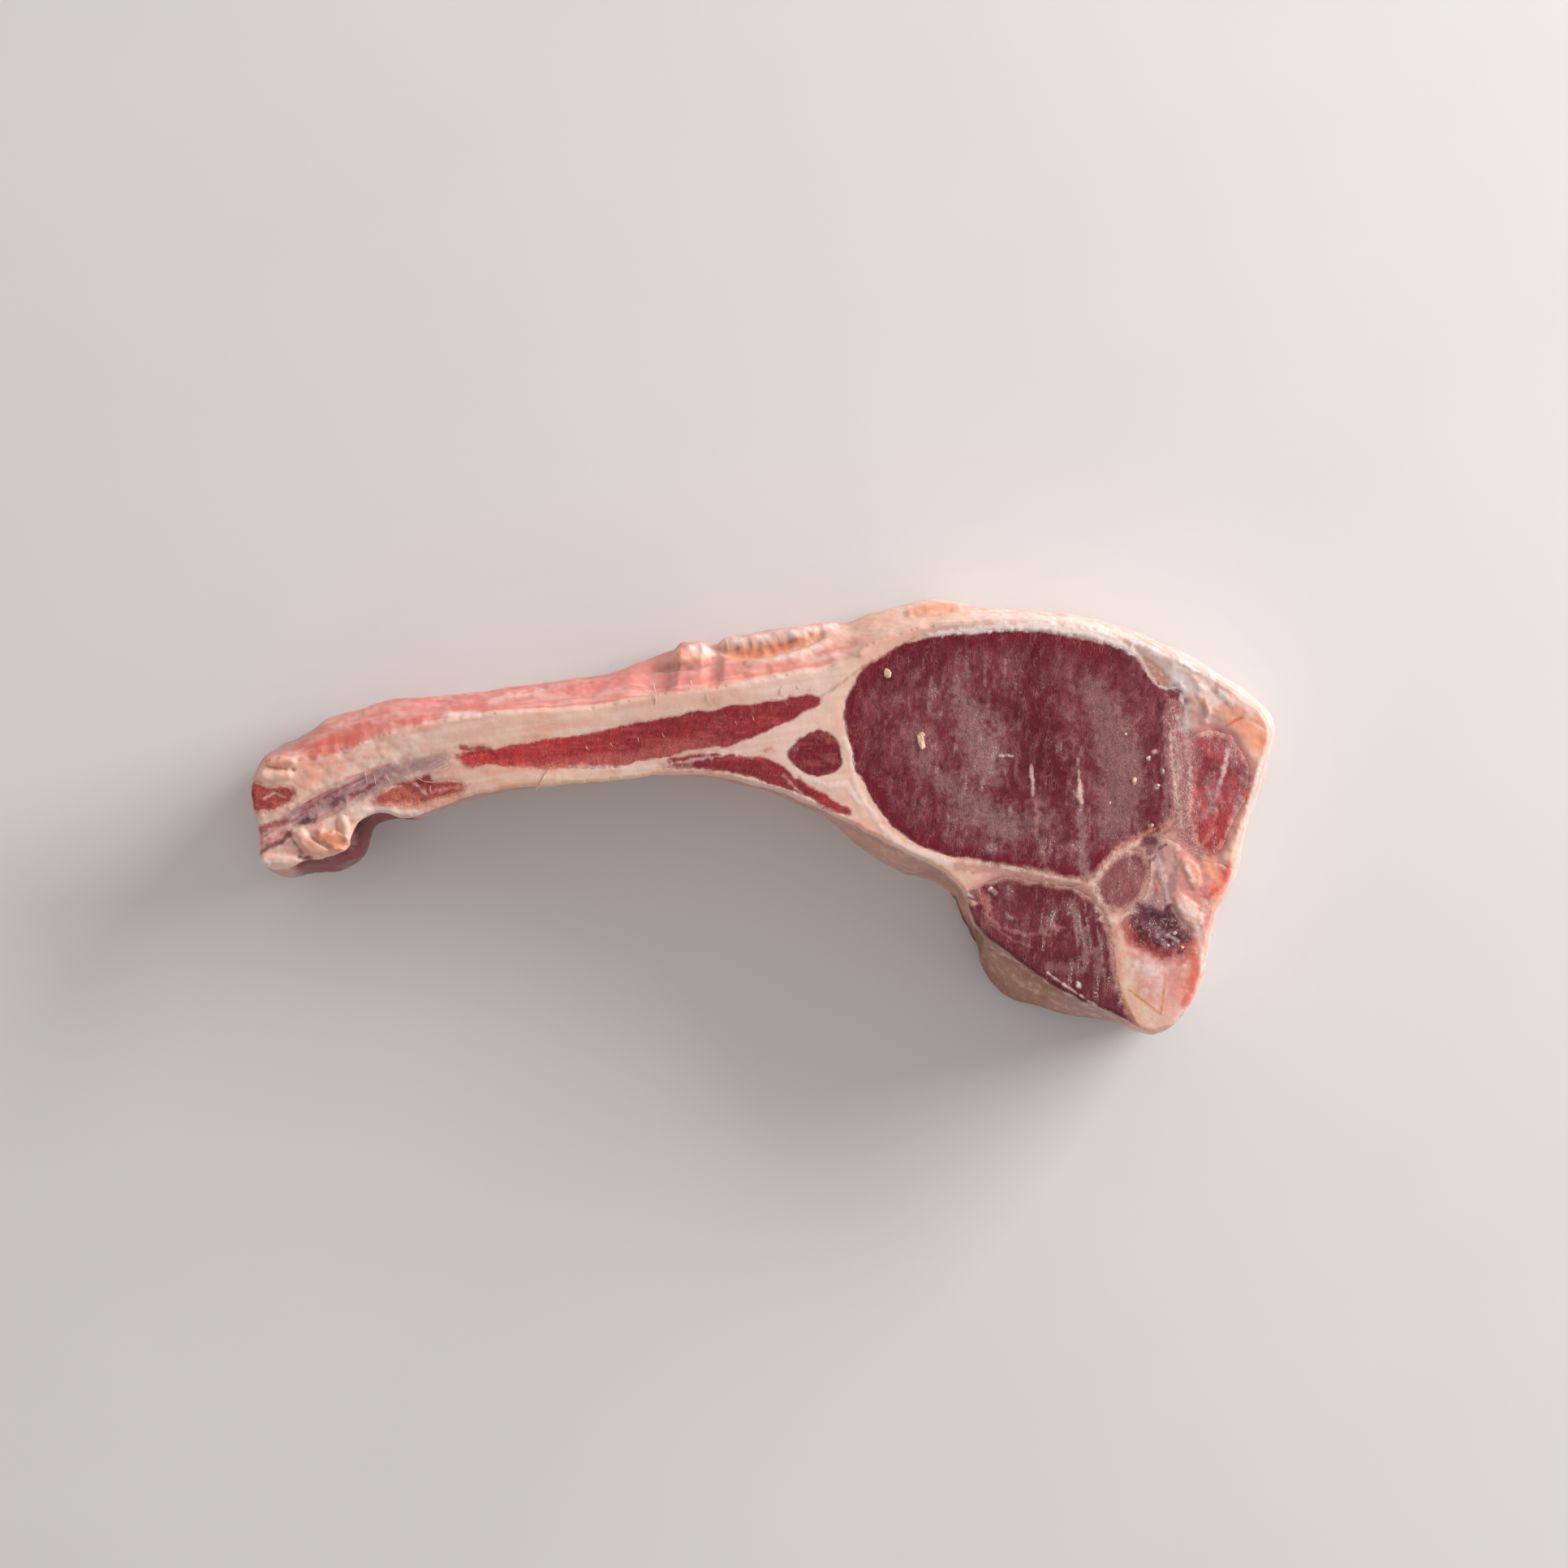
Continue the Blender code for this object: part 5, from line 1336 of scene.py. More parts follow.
def fill_region(distance, low, high, step):
    """Points and triangles that fill the area where distance < 0, with the border on its zero line.

    A triangle with all its corners on one stretch of border would flatten there, so it is left out.
    One that bridges a narrow strip stays: the distance's slopes at its corners point opposite ways.
    """
    axes = (np.arange(low[k], high[k] + step, step) for k in (0, 1))
    grid_x, grid_y = np.meshgrid(*axes, indexing="ij")
    away = distance(grid_x, grid_y)
    inside = away < 0
    number = np.arange(grid_x.size).reshape(grid_x.shape)
    corners = (number[:-1, :-1], number[1:, :-1], number[1:, 1:], number[:-1, 1:])
    a, b, c, d = (n.ravel() for n in corners)
    in_a, in_b, in_c, in_d = (inside.ravel()[n] for n in (a, b, c, d))
    even = (corners[0].ravel() + corners[0].ravel() // inside.shape[1]) % 2 == 0
    full = in_a & in_b & in_c & in_d
    choices = [
        (full & even | in_a & in_b & in_c & ~in_d, (a, b, c)),
        (full & even | in_a & in_c & in_d & ~in_b, (a, c, d)),
        (full & ~even | in_a & in_b & in_d & ~in_c, (a, b, d)),
        (full & ~even | in_b & in_c & in_d & ~in_a, (b, c, d)),
    ]
    chosen = [np.stack([n[where] for n in three], axis=1) for where, three in choices]
    triangles = np.concatenate(chosen)
    slopes = np.stack([slope.ravel() for slope in np.gradient(away, step)], axis=1)[triangles]
    bridges = (slopes @ slopes.transpose(0, 2, 1)).min(axis=(1, 2)) < 0
    while True:
        ends = border_edges(triangles).ravel()
        times = np.bincount(ends, minlength=number.size)
        flat = (times[triangles] > 0).all(axis=1) & ~bridges
        keep = ~(flat | (times[triangles] > 2).any(axis=1))
        if keep.all():
            break
        triangles, bridges = triangles[keep], bridges[keep]
    triangles = largest_part(triangles, number.size)
    used, index = np.unique(triangles, return_inverse=True)
    triangles = index.reshape(-1, 3)
    points = np.stack([grid_x.ravel()[used], grid_y.ravel()[used]], axis=1)
    border = border_edges(triangles)
    rim = np.unique(border)
    points[rim] = slide_to_outline(distance, points[rim], MOST_STEPS * step)
    return points, triangles, border, rim


disc = fill_region(lambda x, y: np.hypot(x, y) - 5.0, (-6.0, -6.0), (6.0, 6.0), 0.5)
print("a disc 10 mm across fills with", len(disc[1]), "triangles")

# %% [markdown]
# ## A slab with its side and underside
# The border is carried down in rings. Each ring leans as the solid does at that height, by a curve
# through the shifts at the known levels, and on the outer side it also swells by the relief. Where
# the wall lies buried against a neighbour it may only sink, or it would show through.

# %% Walls
RING_POWER = 1.5
BURIED = (0.12, 0.03)
OUT_SHARE = 0.7
UP_SHARE = 0.5


def lean_at(x, y, z, top):
    """Shift of a point at height z: the curve of the third degree through the known levels' shifts."""
    levels = [0.0, *MIDDLE_LEVELS, top]
    shift_x, shift_y = np.zeros(x.shape), np.zeros(x.shape)
    for k, level in enumerate(levels[:3]):
        weight = np.ones(x.shape)
        for j, other in enumerate(levels):
            if j != k:
                weight = weight * (z - other) / (level - other)
        shift_x += weight * read_map(lean[level][0], x, y)
        shift_y += weight * read_map(lean[level][1], x, y)
    return shift_x, shift_y


def outward_at(x, y):
    """Unit direction away from the slice: the slope of its distance map."""
    wide = 0.6
    slope_x = read_map(soft_whole, x + wide, y) - read_map(soft_whole, x - wide, y)
    slope_y = read_map(soft_whole, x, y + wide) - read_map(soft_whole, x, y - wide)
    size = np.hypot(slope_x, slope_y) + 1e-6
    return slope_x / size, slope_y / size


def wall_ring(x, y, top, bottom, share, face_colour, face_finish):
    """One ring of wall under border points, at a share of the height: places, colours, (frost, fibre).

    Place = border + lean + outward direction * (relief - the facets of the solid's outline); marks
    lift it out and up. at_side is 1 where the border is the slice's own outer side and 0 where the
    wall is buried more than BURIED mm; there, and at the very top, the face's paint goes on.
    """
    out_x, out_y = outward_at(x, y)
    buried = -edge_distance(x, y)
    at_side = ramp(buried, *BURIED)
    z = bottom + (top - bottom) * share
    shift_x, shift_y = lean_at(x, y, z, top)
    facets = read_map(soft_whole, x, y) * at_side * ramp(share, 1, 0.75)
    side_x, side_y = x + shift_x - facets * out_x, y + shift_y - facets * out_y
    relief = side_relief(side_x, side_y, z, share, out_x, out_y)
    relief = at_side * relief + (1 - at_side) * np.minimum(0.0, relief + buried - OVERLAP)
    side_x, side_y = side_x + relief * out_x, side_y + relief * out_y
    raised = at_side * side_rise(side_x, side_y) * np.sin(np.pi * share) ** 0.5
    side_x, side_y = side_x + OUT_SHARE * raised * out_x, side_y + OUT_SHARE * raised * out_y
    colour, frost, fibre = paint_side(side_x, side_y, z, share + 0 * z, out_x, out_y)
    finish = np.stack([frost, fibre], axis=1)
    face = (ramp(share, 0.98, 1) + (1 - ramp(share, 0.98, 1)) * (1 - at_side))[:, None]
    places = np.stack([side_x, side_y, z + UP_SHARE * raised], axis=1)
    return places, colour + (face_colour - colour) * face, finish + (face_finish - finish) * face


print("walls lean at", [0.0, *MIDDLE_LEVELS], "mm and at the top")

# %% [markdown]
# The underside has the upper face's triangles, turned over, and its border is the last ring. So the
# surface closes without a seam. It is painted by the same rule as the face above, without the marks.

# %% Slabs
UNDER_ROUND = 1.2
UNDER_ROLL = 0.9
UNDER_GAP = 0.03
UNDER_LUMPS = 0.05


def closed_faces(triangles, border, rim, count, rings):
    """Triangles of the closed surface: upper face, underside turned over, two for each edge and ring.

    Points are numbered from the upper face's, through each ring's, to the underside's.
    """
    under = count + (rings - 1) * len(rim)
    in_ring = np.zeros(count, dtype=int)
    in_ring[rim] = np.arange(len(rim))
    inner = [in_ring[border] + count + k * len(rim) for k in range(rings - 1)]
    levels = [border, *inner, border + under]
    faces = [triangles, triangles[:, ::-1] + under]
    for upper, lower in zip(levels[:-1], levels[1:]):
        faces.append(np.stack([upper[:, 0], lower[:, 0], lower[:, 1]], axis=1))
        faces.append(np.stack([upper[:, 0], lower[:, 1], upper[:, 1]], axis=1))
    return np.concatenate(faces)


def slab(node, step, rings):
    """Closed surface of one piece: places, triangles, colours and (frost, fibre) for each place."""
    def distance(x, y):
        """Below 0 in the piece, let out by OVERLAP mm over its neighbours but not past the outer side."""
        return np.maximum(seam_distances(x, y)[node] - OVERLAP, edge_distance(x, y))

    low, high = (np.array(corner)[:2] / MM - EYE_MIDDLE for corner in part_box(node))
    points, triangles, border, rim = fill_region(distance, low - 2.0, high + 2.0, step)
    x, y = points.T
    top = top_height(node, x, y)
    away = edge_distance(x, y)
    lumps = UNDER_LUMPS * (1 + layered(58, 3, x / 3, y / 3)) * ramp(-away, 0, 1.5)
    bottom = round_off(away, UNDER_ROUND) * UNDER_ROLL + UNDER_GAP + lumps
    colour, frost, fibre = paint_cut(node, x, y, True)
    finish = np.stack([frost, fibre], axis=1)
    parts = [(np.stack([x, y, top], axis=1), colour, finish)]
    for share in 1 - np.linspace(0, 1, rings + 1)[1:-1] ** RING_POWER:
        parts.append(wall_ring(x[rim], y[rim], top[rim], bottom[rim], share, colour[rim], finish[rim]))
    shift_x, shift_y = lean_at(x, y, bottom, top)
    colour, frost, fibre = paint_cut(node, x, y, False)
    under = np.stack([x + shift_x, y + shift_y, bottom], axis=1)
    parts.append((under, colour, np.stack([frost, fibre], axis=1)))
    places, colours, finishes = (np.concatenate(group) for group in zip(*parts))
    return places, closed_faces(triangles, border, rim, len(x), rings), colours, finishes


print("underside lies", UNDER_GAP, "mm above the table at its lowest")

# %% [markdown]
# ## Finishes
# The paint says what colour a place is. The finish adds what is finer than the grid of points: fibre
# ends drawn out along the cut, flecks of frost, and a moist gloss that breaks up where frost lies.
# Light also goes a little way into meat and further into fat, and comes out redder. First come short
# helpers for the shader's nodes. A socket knows which node tree it is in, so they need no more than
# the sockets that they join.

# %% Shader helpers
def add_node(tree, kind, **settings):
    """New shader node with its settings; a setting that starts with in_ goes to the socket so named."""
    node = tree.nodes.new(kind)
    for name, value in settings.items():
        if name.startswith("in_"):
            node.inputs[name[3:]].default_value = value
        else:
            setattr(node, name, value)
    return node


def stretched_noise(tree, angle, size, seed, detail=2.0, roughness=0.6):
    """Noise value whose grains measure size (across, along, down) in mm, turned by an angle."""
    coordinates = add_node(tree, "ShaderNodeTexCoord")
    mapping = add_node(tree, "ShaderNodeMapping", vector_type="TEXTURE")
    mapping.inputs["Location"].default_value = (seed * 0.013, seed * 0.007, seed * 0.003)
    mapping.inputs["Rotation"].default_value = (0.0, 0.0, np.radians(angle))
    mapping.inputs["Scale"].default_value = [s * MM for s in size]
    pattern = add_node(tree, "ShaderNodeTexNoise", in_Scale=1.0, in_Detail=detail, in_Roughness=roughness)
    tree.links.new(coordinates.outputs["Object"], mapping.inputs["Vector"])
    tree.links.new(mapping.outputs["Vector"], pattern.inputs["Vector"])
    return pattern.outputs["Fac"]


def remapped(value, start, end, low, high):
    """Value carried from start..end to low..high and kept there."""
    tree = value.id_data
    node = add_node(tree, "ShaderNodeMapRange", clamp=True)
    for name, number in (("From Min", start), ("From Max", end), ("To Min", low), ("To Max", high)):
        node.inputs[name].default_value = number
    tree.links.new(value, node.inputs["Value"])
    return node.outputs["Result"]


def arithmetic(operation, a, b):
    """Math node of two values, where b may be a plain number."""
    tree = a.id_data
    node = add_node(tree, "ShaderNodeMath", operation=operation)
    tree.links.new(a, node.inputs[0])
    if isinstance(b, (int, float)):
        node.inputs[1].default_value = b
    else:
        tree.links.new(b, node.inputs[1])
    return node.outputs["Value"]


def plus(a, b):
    """Sum of two values."""
    return arithmetic("ADD", a, b)


def times(a, b):
    """Product of two values."""
    return arithmetic("MULTIPLY", a, b)


def scaled(colour, value):
    """Colour times a value."""
    tree = value.id_data
    node = add_node(tree, "ShaderNodeVectorMath", operation="SCALE")
    if isinstance(colour, np.ndarray):
        node.inputs[0].default_value = colour
    else:
        tree.links.new(colour, node.inputs[0])
    tree.links.new(value, node.inputs["Scale"])
    return node.outputs["Vector"]


def mixed_in(factor, colour, name):
    """Colour with a named tone mixed in by a factor."""
    tree = factor.id_data
    mix = add_node(tree, "ShaderNodeMix", data_type="RGBA")
    first, second = [socket for socket in mix.inputs if socket.type == "RGBA"]
    second.default_value = (*TONES[name], 1.0)
    tree.links.new(factor, mix.inputs["Factor"])
    tree.links.new(colour, first)
    return [socket for socket in mix.outputs if socket.type == "RGBA"][0]


def fine_lines(tree, angle, size, seed, width):
    """Thin wandering lines: 1 where a noise value crosses its middle, from |value - 0.5| < width."""
    value = stretched_noise(tree, angle, size, seed, detail=0.6, roughness=0.4)
    return remapped(arithmetic("ABSOLUTE", plus(value, -0.5), 0.0), 0.0, width, 1.0, 0.0)


def new_finish(name):
    """New material: itself, its node tree and its shader."""
    material = bpy.data.materials.new(name)
    material.use_nodes = True
    return material, material.node_tree, material.node_tree.nodes["Principled BSDF"]


print("grains are measured in units of", MM, "m")

# %% [markdown]
# One recipe makes the finish of every tissue. The paint is darkened and lightened by two sizes of
# grain, strongly where fibre is 1. Pale threads wander over it in patches, and flecks light up where
# frost lies. The same grain, threads and flecks make the surface bumpy and its gloss uneven.

# %% Finishes
ENDS_SIZE = (0.22, 0.42, 1.2)
BUNDLES_SIZE = (0.7, 1.6, 2.5)
PATCH_SIZE = (1.2, 2.4, 4.0)
CRYSTAL_SIZE = (0.22, 0.34, 0.5)
BUMP_HEIGHT = 0.25 * MM


def flesh_finish(name, angle, contrast, vein, vein_share, roughness, gloss, depth, radius, bump):
    """Finish of one tissue: painted colour times (1 + grain), then threads, then flecks of frost.

    angle: the way the grain is drawn out, in degrees; contrast: how far it darkens and lightens; vein
    and vein_share: the threads' tone and strength; depth and radius: how much light goes in, and how
    far in mm for red, green and blue; bump: strength of the relief.
    """
    material, tree, shader = new_finish(name)
    paint = add_node(tree, "ShaderNodeAttribute", attribute_name="paint").outputs["Color"]
    frost = add_node(tree, "ShaderNodeAttribute", attribute_name="frost").outputs["Fac"]
    fibre = add_node(tree, "ShaderNodeAttribute", attribute_name="fibre").outputs["Fac"]

    ends = stretched_noise(tree, angle, ENDS_SIZE, 1, detail=3.0, roughness=0.65)
    bundles = stretched_noise(tree, angle + 9.0, BUNDLES_SIZE, 2, detail=3.0, roughness=0.6)
    grain = plus(times(ends, 0.62), times(bundles, 0.38))
    swing = times(remapped(grain, 0.34, 0.66, -contrast, contrast), remapped(fibre, 0.0, 1.0, 0.22, 1.0))
    grained = scaled(paint, plus(swing, 1.0))

    long_lines = fine_lines(tree, angle, (0.45, 2.4, 3.0), 4, 0.035)
    short_lines = fine_lines(tree, angle + 24.0, (0.4, 0.9, 2.0), 5, 0.055)
    patches = plus(stretched_noise(tree, angle, PATCH_SIZE, 6), times(frost, 0.25))
    lines = arithmetic("MAXIMUM", long_lines, times(short_lines, 0.6))
    lines = times(times(lines, remapped(patches, 0.44, 0.62, 0.0, 1.0)), fibre)
    veined = mixed_in(times(lines, vein_share), grained, vein)

    crystals = plus(stretched_noise(tree, angle, CRYSTAL_SIZE, 3, detail=1.0), times(frost, 0.12))
    flecks = times(remapped(crystals, 0.63, 0.73, 0.0, 1.0), remapped(frost, 0.05, 0.5, 0.0, 0.6))
    tree.links.new(mixed_in(flecks, veined, "fleck"), shader.inputs["Base Color"])

    rough = remapped(grain, 0.3, 0.7, roughness - 0.08, roughness + 0.08)
    tree.links.new(plus(rough, times(frost, 0.15)), shader.inputs["Roughness"])
    relief = plus(times(grain, remapped(fibre, 0.0, 1.0, 0.35, 1.0)), times(flecks, 0.5))
    bumps = add_node(tree, "ShaderNodeBump", in_Strength=bump, in_Distance=BUMP_HEIGHT)
    tree.links.new(plus(relief, times(lines, 0.2)), bumps.inputs["Height"])
    tree.links.new(bumps.outputs["Normal"], shader.inputs["Normal"])
    shader.inputs["Specular IOR Level"].default_value = gloss
    shader.inputs["Subsurface Weight"].default_value = depth
    shader.inputs["Subsurface Radius"].default_value = radius
    shader.inputs["Subsurface Scale"].default_value = MM
    return material


FINISHES = {
    "lean": flesh_finish("dark_lean", -6.0, 0.5, "eye pink", 0.6, 0.45, 0.25, 0.1, (0.8, 0.2, 0.15), 0.4),
    "back": flesh_finish("back_lean", -12.0, 0.42, "sinew", 0.25, 0.42, 0.3, 0.12, (0.9, 0.25, 0.18), 0.4),
    "rib": flesh_finish("rib_lean", -22.0, 0.45, "strip pale", 0.3, 0.4, 0.3, 0.12, (0.9, 0.25, 0.18), 0.4),
    "fat": flesh_finish("firm_fat", -6.0, 0.3, "eye pink", 0.4, 0.42, 0.4, 0.2, (1.4, 0.6, 0.4), 0.25),
    "sheet": flesh_finish("wet_membrane", -63.0, 0.5, "sinew", 0.3, 0.32, 0.5, 0.15, (1.0, 0.4, 0.3), 0.4),
    "bone": flesh_finish("sawn_bone", 10.0, 0.5, "sinew", 0.3, 0.42, 0.35, 0.18, (1.2, 0.5, 0.4), 0.5),
    "marrow": flesh_finish("dark_marrow", 0.0, 0.4, "frost", 0.4, 0.4, 0.35, 0.1, (0.8, 0.2, 0.15), 0.5),
}
print(len(FINISHES), "finishes")

# %% [markdown]
# ## The pieces
# Each node of the frame gets its slab. The grid is 0.2 mm, and a little coarser on the two largest
# pieces, the fat and the eye muscle, so that each stays under 200,000 triangles. The foot's two
# pieces get more rings, because their side shows from above.

# %% Pieces
def make_mesh(name, places, faces, colours, finishes):
    """Mesh object from places in mm and triangles, with paint, frost and fibre for each point."""
    mesh = bpy.data.meshes.new(name)
    mesh.vertices.add(len(places))
    mesh.vertices.foreach_set("co", ((places + [*EYE_MIDDLE, 0.0]) * MM).astype(np.float32).ravel())
    mesh.loops.add(faces.size)
    mesh.loops.foreach_set("vertex_index", faces.astype(np.int32).ravel())
    mesh.polygons.add(len(faces))
    mesh.polygons.foreach_set("loop_start", np.arange(0, faces.size, 3, dtype=np.int32))
    mesh.polygons.foreach_set("loop_total", np.full(len(faces), 3, dtype=np.int32))
    mesh.polygons.foreach_set("use_smooth", np.ones(len(faces), dtype=bool))
    mesh.update(calc_edges=True)
    paint = mesh.color_attributes.new("paint", "FLOAT_COLOR", "POINT")
    with_alpha = np.concatenate([colours, np.ones((len(colours), 1))], axis=1)
    paint.data.foreach_set("color", with_alpha.astype(np.float32).ravel())
    for layer, values in zip(("frost", "fibre"), finishes.T):
        attribute = mesh.attributes.new(layer, "FLOAT", "POINT")
        attribute.data.foreach_set("value", values.astype(np.float32))
    piece = bpy.data.objects.new(name, mesh)
    bpy.context.scene.collection.objects.link(piece)
    return piece


KIND_OF = {  # the record's material slot and the finish
    "rib_muscle": ("pale_lean", "rib"), "back_muscle": ("pale_lean", "back"),
    "flank_tip_muscle": ("pale_lean", "rib"), "flank_muscle": ("pale_lean", "rib"),
    "inner_muscle": ("lean_meat", "rib"), "flank_sheet": ("membrane", "sheet"),
    "fat": ("fat", "fat"), "vertebra": ("bone", "bone"), "marrow": ("marrow", "marrow"),
}
PLAIN_KIND = ("lean_meat", "lean")
GRID_OF = {  # step of the grid in mm and number of rings
    "fat": (0.3, 21), "eye_muscle": (0.225, 6), "chine_muscle": (0.2, 44), "vertebra": (0.2, 44),
}
PLAIN_GRID = (0.2, 24)
for node in NODES:
    step, rings = GRID_OF.get(node, PLAIN_GRID)
    slot, finish = KIND_OF.get(node, PLAIN_KIND)
    piece = make_mesh(node + "_flesh", *slab(node, step, rings))
    piece.data.materials.append(FINISHES[finish])
    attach(piece, "root")
    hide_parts(node)
    print(f"{node}: {len(piece.data.polygons)} triangles")

# %% [markdown]
# ## Crumbs and threads
# The blade left crumbs of fat on the eye muscle, frost grains near its right edge, and torn threads
# of membrane, white and hair-thin, along the tail. Both are grids that close round their columns,
# with a point at each end. A crumb is a squashed ball: a grid of two angles with a radius that noise
# makes uneven. They lie on the upper face, so their heights are read from the map of its height.

# %% Crumbs
CRUMBS = [  # place, size along and across, height, turn in degrees
    (-20.5, 12.1, 0.72, 0.55, 0.3, 110), (-14.9, 1, 1.1, 0.6, 0.35, 100), (-14.7, 2.1, 0.45, 0.35, 0.25, 0),
    (20.6, -5.6, 0.5, 0.35, 0.3, 60), (22.9, -1.8, 0.35, 0.3, 0.2, 10), (24.6, -6.4, 0.3, 0.25, 0.2, 0),
    (23.5, -13.1, 0.3, 0.22, 0.2, 40), (25.4, -4, 0.28, 0.2, 0.18, 80), (11.2, -39.6, 0.4, 0.3, 0.25, 50),
    (-3.4, -23.6, 0.45, 0.3, 0.2, 30), (19.2, 2.1, 0.25, 0.2, 0.15, 0), (16.5, -9.3, 0.25, 0.18, 0.15, 70),
    (27.3, -31, 0.35, 0.3, 0.25, 10), (28.6, -33.4, 0.3, 0.25, 0.2, 60), (26.2, -33, 0.25, 0.2, 0.2, 0),
]
BALL_STEPS = (10, 16)
FULL_TURN = 2 * np.pi


def grid_faces(rows, columns, first):
    """Triangles of a grid that closes round its columns, with a pole at each end, points from first."""
    row, column = np.meshgrid(np.arange(rows - 1), np.arange(columns), indexing="ij")
    a = first + row * columns + column
    b = first + row * columns + (column + 1) % columns
    c, d = b + columns, a + columns
    ring = first + np.arange(columns)
    last = ring + (rows - 1) * columns
    start = np.full(columns, first + rows * columns)
    caps = ((start, np.roll(ring, -1), ring), (start + 1, last, np.roll(last, -1)))
    corners = ((a, b, c), (a, c, d), *caps)
    return np.concatenate([np.stack([t.ravel() for t in three], axis=1) for three in corners])


def crumb(x, y, long, wide, tall, turn, seed):
    """Squashed ball: place = centre + radius noise * (sin u cos v, sin u sin v, cos u) * half sizes."""
    rows, columns = BALL_STEPS
    angles = np.linspace(0, np.pi, rows + 2)[1:-1], np.arange(columns) * FULL_TURN / columns
    u, v = (angle.ravel() for angle in np.meshgrid(*angles, indexing="ij"))
    u, v = np.append(u, [0.0, np.pi]), np.append(v, [0.0, 0.0])
    ball = np.stack([np.sin(u) * np.cos(v), np.sin(u) * np.sin(v), np.cos(u)])
    size = 1 + 0.55 * layered(90 + seed, 3, *(ball * 1.3))
    away_x, away_y = turned(ball[0] * long * size, ball[1] * wide * size, -turn)
    ground = read_map(base_height, np.array([x]), np.array([y]))[0]
    return np.stack([x + away_x, y + away_y, ground + tall * 0.35 + ball[2] * size * tall * 0.6], axis=1)


crumbs = [crumb(*row, seed) for seed, row in enumerate(CRUMBS)]
print(len(crumbs), "crumbs of", len(crumbs[0]), "points")

# %% [markdown]
# A thread is a ring carried along a bent path, thinner towards both ends. The path is a curve of the
# second degree through the places below, and it arches a little off the face between its ends.

# %% Threads
THREADS = [  # places on the face, then the thickness in mm
    ([(-59.8, 11.2), (-59, 9.6), (-59.4, 8), (-59.1, 7)], 0.08), ([(-53.4, 11.2), (-53, 10.2)], 0.1),
    ([(-50.8, 8.8), (-50.2, 7.8), (-49.6, 6.9)], 0.05), ([(-49.2, 8.2), (-48.6, 7.2)], 0.045),
    ([(-38, 10.3), (-38.2, 9.2), (-37.7, 8.4)], 0.06), ([(-35.4, 10.4), (-35.1, 9.6)], 0.05),
    ([(-33.2, 10), (-33.1, 9.3)], 0.05), ([(-107.9, -4), (-107.5, -6.4)], 0.06),
    ([(-106.4, -4.6), (-105.9, -6.4)], 0.05), ([(-111, -8.4), (-110.8, -10.4), (-111.2, -12)], 0.06),
    ([(-104.4, -4.4), (-103.8, -5.8)], 0.05), ([(-99.4, -4.8), (-97.6, -5.8), (-95.4, -5.6)], 0.07),
    ([(-96.8, -7.6), (-97, -6.4)], 0.06), ([(-76.6, -3.4), (-77.6, -4.6), (-79.3, -7.6)], 0.11),
    ([(-46, 4.4), (-45.4, 3.6)], 0.045), ([(-62.2, 1.6), (-61.9, 0.8)], 0.05),
    ([(-66.6, 0.8), (-66.3, 0)], 0.05), ([(-70.8, 0.2), (-70.4, -0.6)], 0.05),
    ([(-58, 2.4), (-57.6, 1.6)], 0.045), ([(-43, 5.2), (-42.7, 4.4)], 0.045),
]
TUBE_STEPS = (12, 6)
LIFT = 0.04
ARCH = 0.15


def thread(route, thickness):
    """Tube along a bent path: a ring whose radius is thickness times 0.3 + 0.7 sqrt(sin(pi t)), shaken."""
    rows, columns = TUBE_STEPS
    route = np.array(route)
    t = np.linspace(0.0, 1.0, rows)
    known = np.linspace(0.0, 1.0, len(route))
    degree = min(len(route) - 1, 2)
    x, y = (np.polyval(np.polyfit(known, route[:, k], degree), t) for k in (0, 1))
    x = x + 0.12 * noise(97, x * 2, y * 2)
    ahead = np.stack([np.gradient(x), np.gradient(y)])
    ahead = ahead / np.linalg.norm(ahead, axis=0)
    arch = np.sin(np.pi * t)
    radius = thickness * (0.3 + 0.7 * np.sqrt(arch)) * (1 + 0.4 * noise(96, x * 2, y * 2))
    ground = read_map(base_height, x, y) - 0.5 * round_off(edge_distance(x, y), EDGE_ROUND)
    ground = ground + LIFT + ARCH * arch
    angle = np.arange(columns) * FULL_TURN / columns
    across, up = np.outer(radius, np.cos(angle)), np.outer(radius, np.sin(angle))
    places = np.stack([
        x[:, None] - across * ahead[1][:, None],
        y[:, None] + across * ahead[0][:, None],
        ground[:, None] + up,
    ], axis=2).reshape(-1, 3)
    ends = np.stack([x[[0, -1]], y[[0, -1]], ground[[0, -1]]], axis=1)
    return np.concatenate([places, ends])


threads = [thread(*row) for row in THREADS]
print(len(threads), "threads of", len(threads[0]), "points")

# %% [markdown]
# All crumbs together are one piece, and so are all threads. Neither stands for a solid of the frame:
# they ride on the chop as loose things.

# %% Loose pieces
LOOSE_FINISH = (0.2, 0.0)  # frost and fibre


def joined(name, shapes, steps, tone_name):
    """One mesh of many closed shapes that share a grid, painted in one tone with slight clouds."""
    rows, columns = steps
    count = rows * columns + 2
    faces = np.concatenate([grid_faces(rows, columns, k * count) for k in range(len(shapes))])
    places = np.concatenate(shapes)
    colours = np.tile(TONES[tone_name], (len(places), 1))
    colours = blend(colours, "seam", 0.6 * ramp(noise(95, *(places.T / 0.5)), -0.3, 0.6))
    piece = make_mesh(name, places, faces, colours, np.tile(LOOSE_FINISH, (len(places), 1)))
    piece.data.materials.append(FINISHES["fat"])
    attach(piece, "root")
    print(f"{name}: {len(shapes)} shapes, {len(faces)} triangles")


joined("fat_crumbs", crumbs, BALL_STEPS, "cream")
joined("torn_threads", threads, TUBE_STEPS, "sinew")
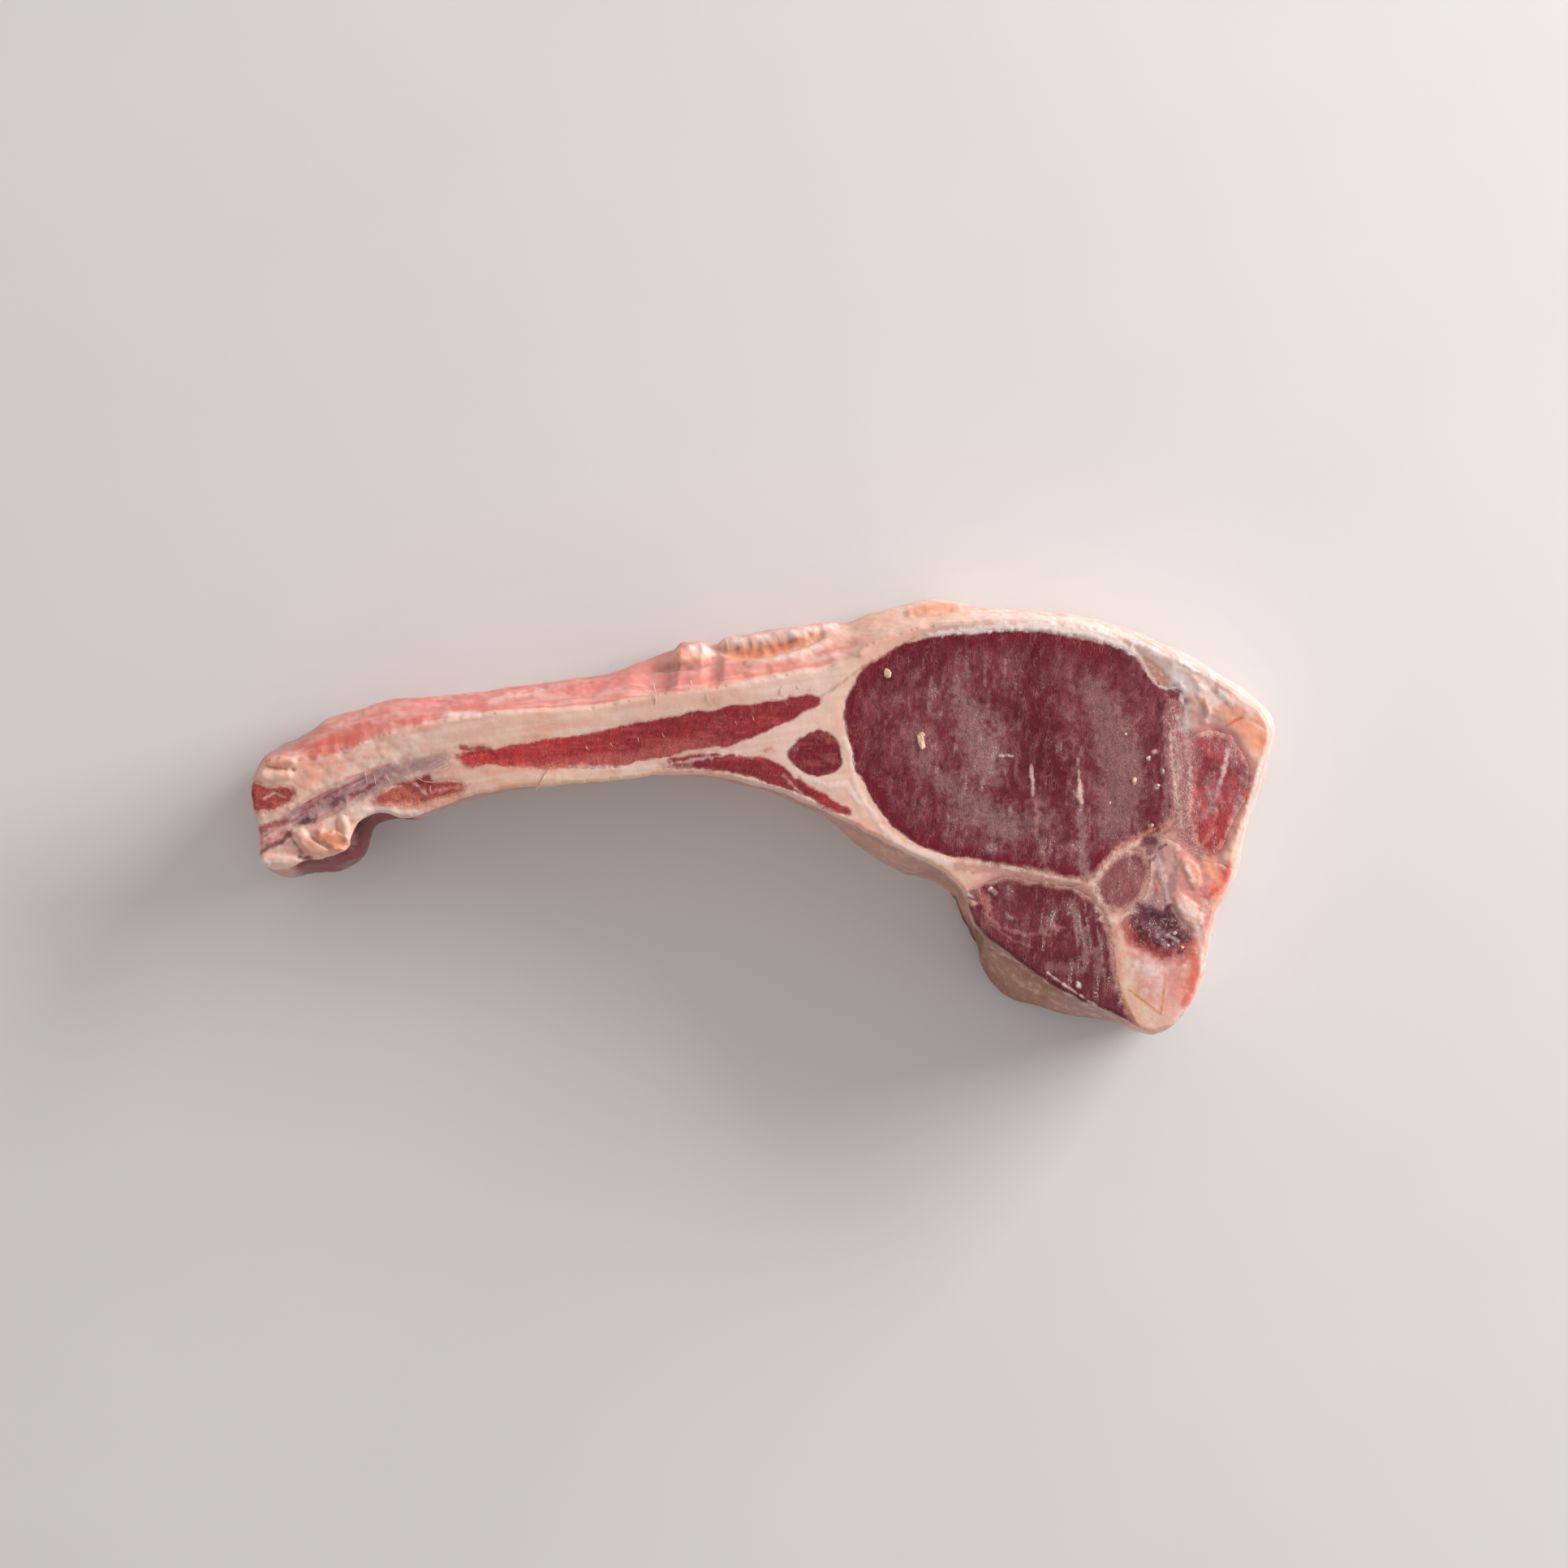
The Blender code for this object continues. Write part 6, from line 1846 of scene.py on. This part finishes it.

# %% [markdown]
# ## Table
# The chop lies on a plain pale table, a square board far wider than the view. It isn't part of the
# object, so it is not attached to the chop's body.

# %% Table
FLOOR_TONE = tone(216, 214, 213)
TABLE_HALF = 1.2
CLOUD_SIZE = (60.0, 60.0, 60.0)


def table_finish():
    """Matt pale board: its tone times 1 with the faintest clouds."""
    material, tree, shader = new_finish("pale_board")
    strength = remapped(stretched_noise(tree, 0.0, CLOUD_SIZE, 5), 0.3, 0.7, 0.985, 1.015)
    tree.links.new(scaled(FLOOR_TONE, strength), shader.inputs["Base Color"])
    shader.inputs["Roughness"].default_value = 0.6
    return material


table_mesh = bpy.data.meshes.new("table")
corners = [(x * TABLE_HALF, y * TABLE_HALF, 0.0) for x, y in ((-1, -1), (1, -1), (1, 1), (-1, 1))]
table_mesh.from_pydata(corners, [], [(0, 1, 2, 3)])
table_mesh.materials.append(table_finish())
table = bpy.data.objects.new("table", table_mesh)
bpy.context.scene.collection.objects.link(table)
print("table", 2 * TABLE_HALF, "m wide")

# %% [markdown]
# ## Camera
# The camera looks straight down, as one does at a cutting board. It stands well above the chop with a
# long lens, so the sides show only where they lean out past the upper face.

# %% Camera
LENS = 85.0
SENSOR_WIDTH = 36.0
CAMERA_PLACE = (3.53, 5.30, 643)
camera_data = bpy.data.cameras.new("camera")
camera_data.lens = LENS
camera_data.sensor_width = SENSOR_WIDTH
camera = bpy.data.objects.new("camera", camera_data)
bpy.context.scene.collection.objects.link(camera)
camera.location = [place * MM for place in CAMERA_PLACE]
bpy.context.scene.camera = camera
print("camera", CAMERA_PLACE[2], "mm above the table, looking straight down")

# %% [markdown]
# ## Lamps
# One large window stands low on the right, and gives each lump a lit and a shaded side. A plain pale
# room all round fills the shadows. Colours are shown as they are, with no film look over them, so
# that the palette's tones come out right.

# %% Lamps
ROOM_COLOUR = (1.0, 0.99, 0.985, 1.0)
ROOM_STRENGTH = 0.535


def soft_light(name, azimuth, height, away, size, power):
    """Rectangular light on a sphere round the chop, facing it.

    Direction = (cos azimuth cos height, sin azimuth cos height, sin height); away and size in metres.
    """
    turn, rise = np.radians(azimuth), np.radians(height)
    direction = Vector((np.cos(turn) * np.cos(rise), np.sin(turn) * np.cos(rise), np.sin(rise)))
    data = bpy.data.lights.new(name, "AREA")
    data.shape = "RECTANGLE"
    data.size, data.size_y = size
    data.energy = power
    light = bpy.data.objects.new(name, data)
    bpy.context.scene.collection.objects.link(light)
    light.location = direction * away
    light.rotation_euler = direction.to_track_quat("Z", "Y").to_euler()
    print(name, power, "W,", away, "m away,", height, "degrees above the table")


soft_light("window", azimuth=30.0, height=18.0, away=1.05, size=(0.75, 0.42), power=15.4)
room = bpy.data.worlds.new("room")
room.use_nodes = True
background = room.node_tree.nodes["Background"]
background.inputs["Color"].default_value = ROOM_COLOUR
background.inputs["Strength"].default_value = ROOM_STRENGTH
bpy.context.scene.world = room
bpy.context.scene.view_settings.view_transform = "Standard"
print("room light", ROOM_STRENGTH)
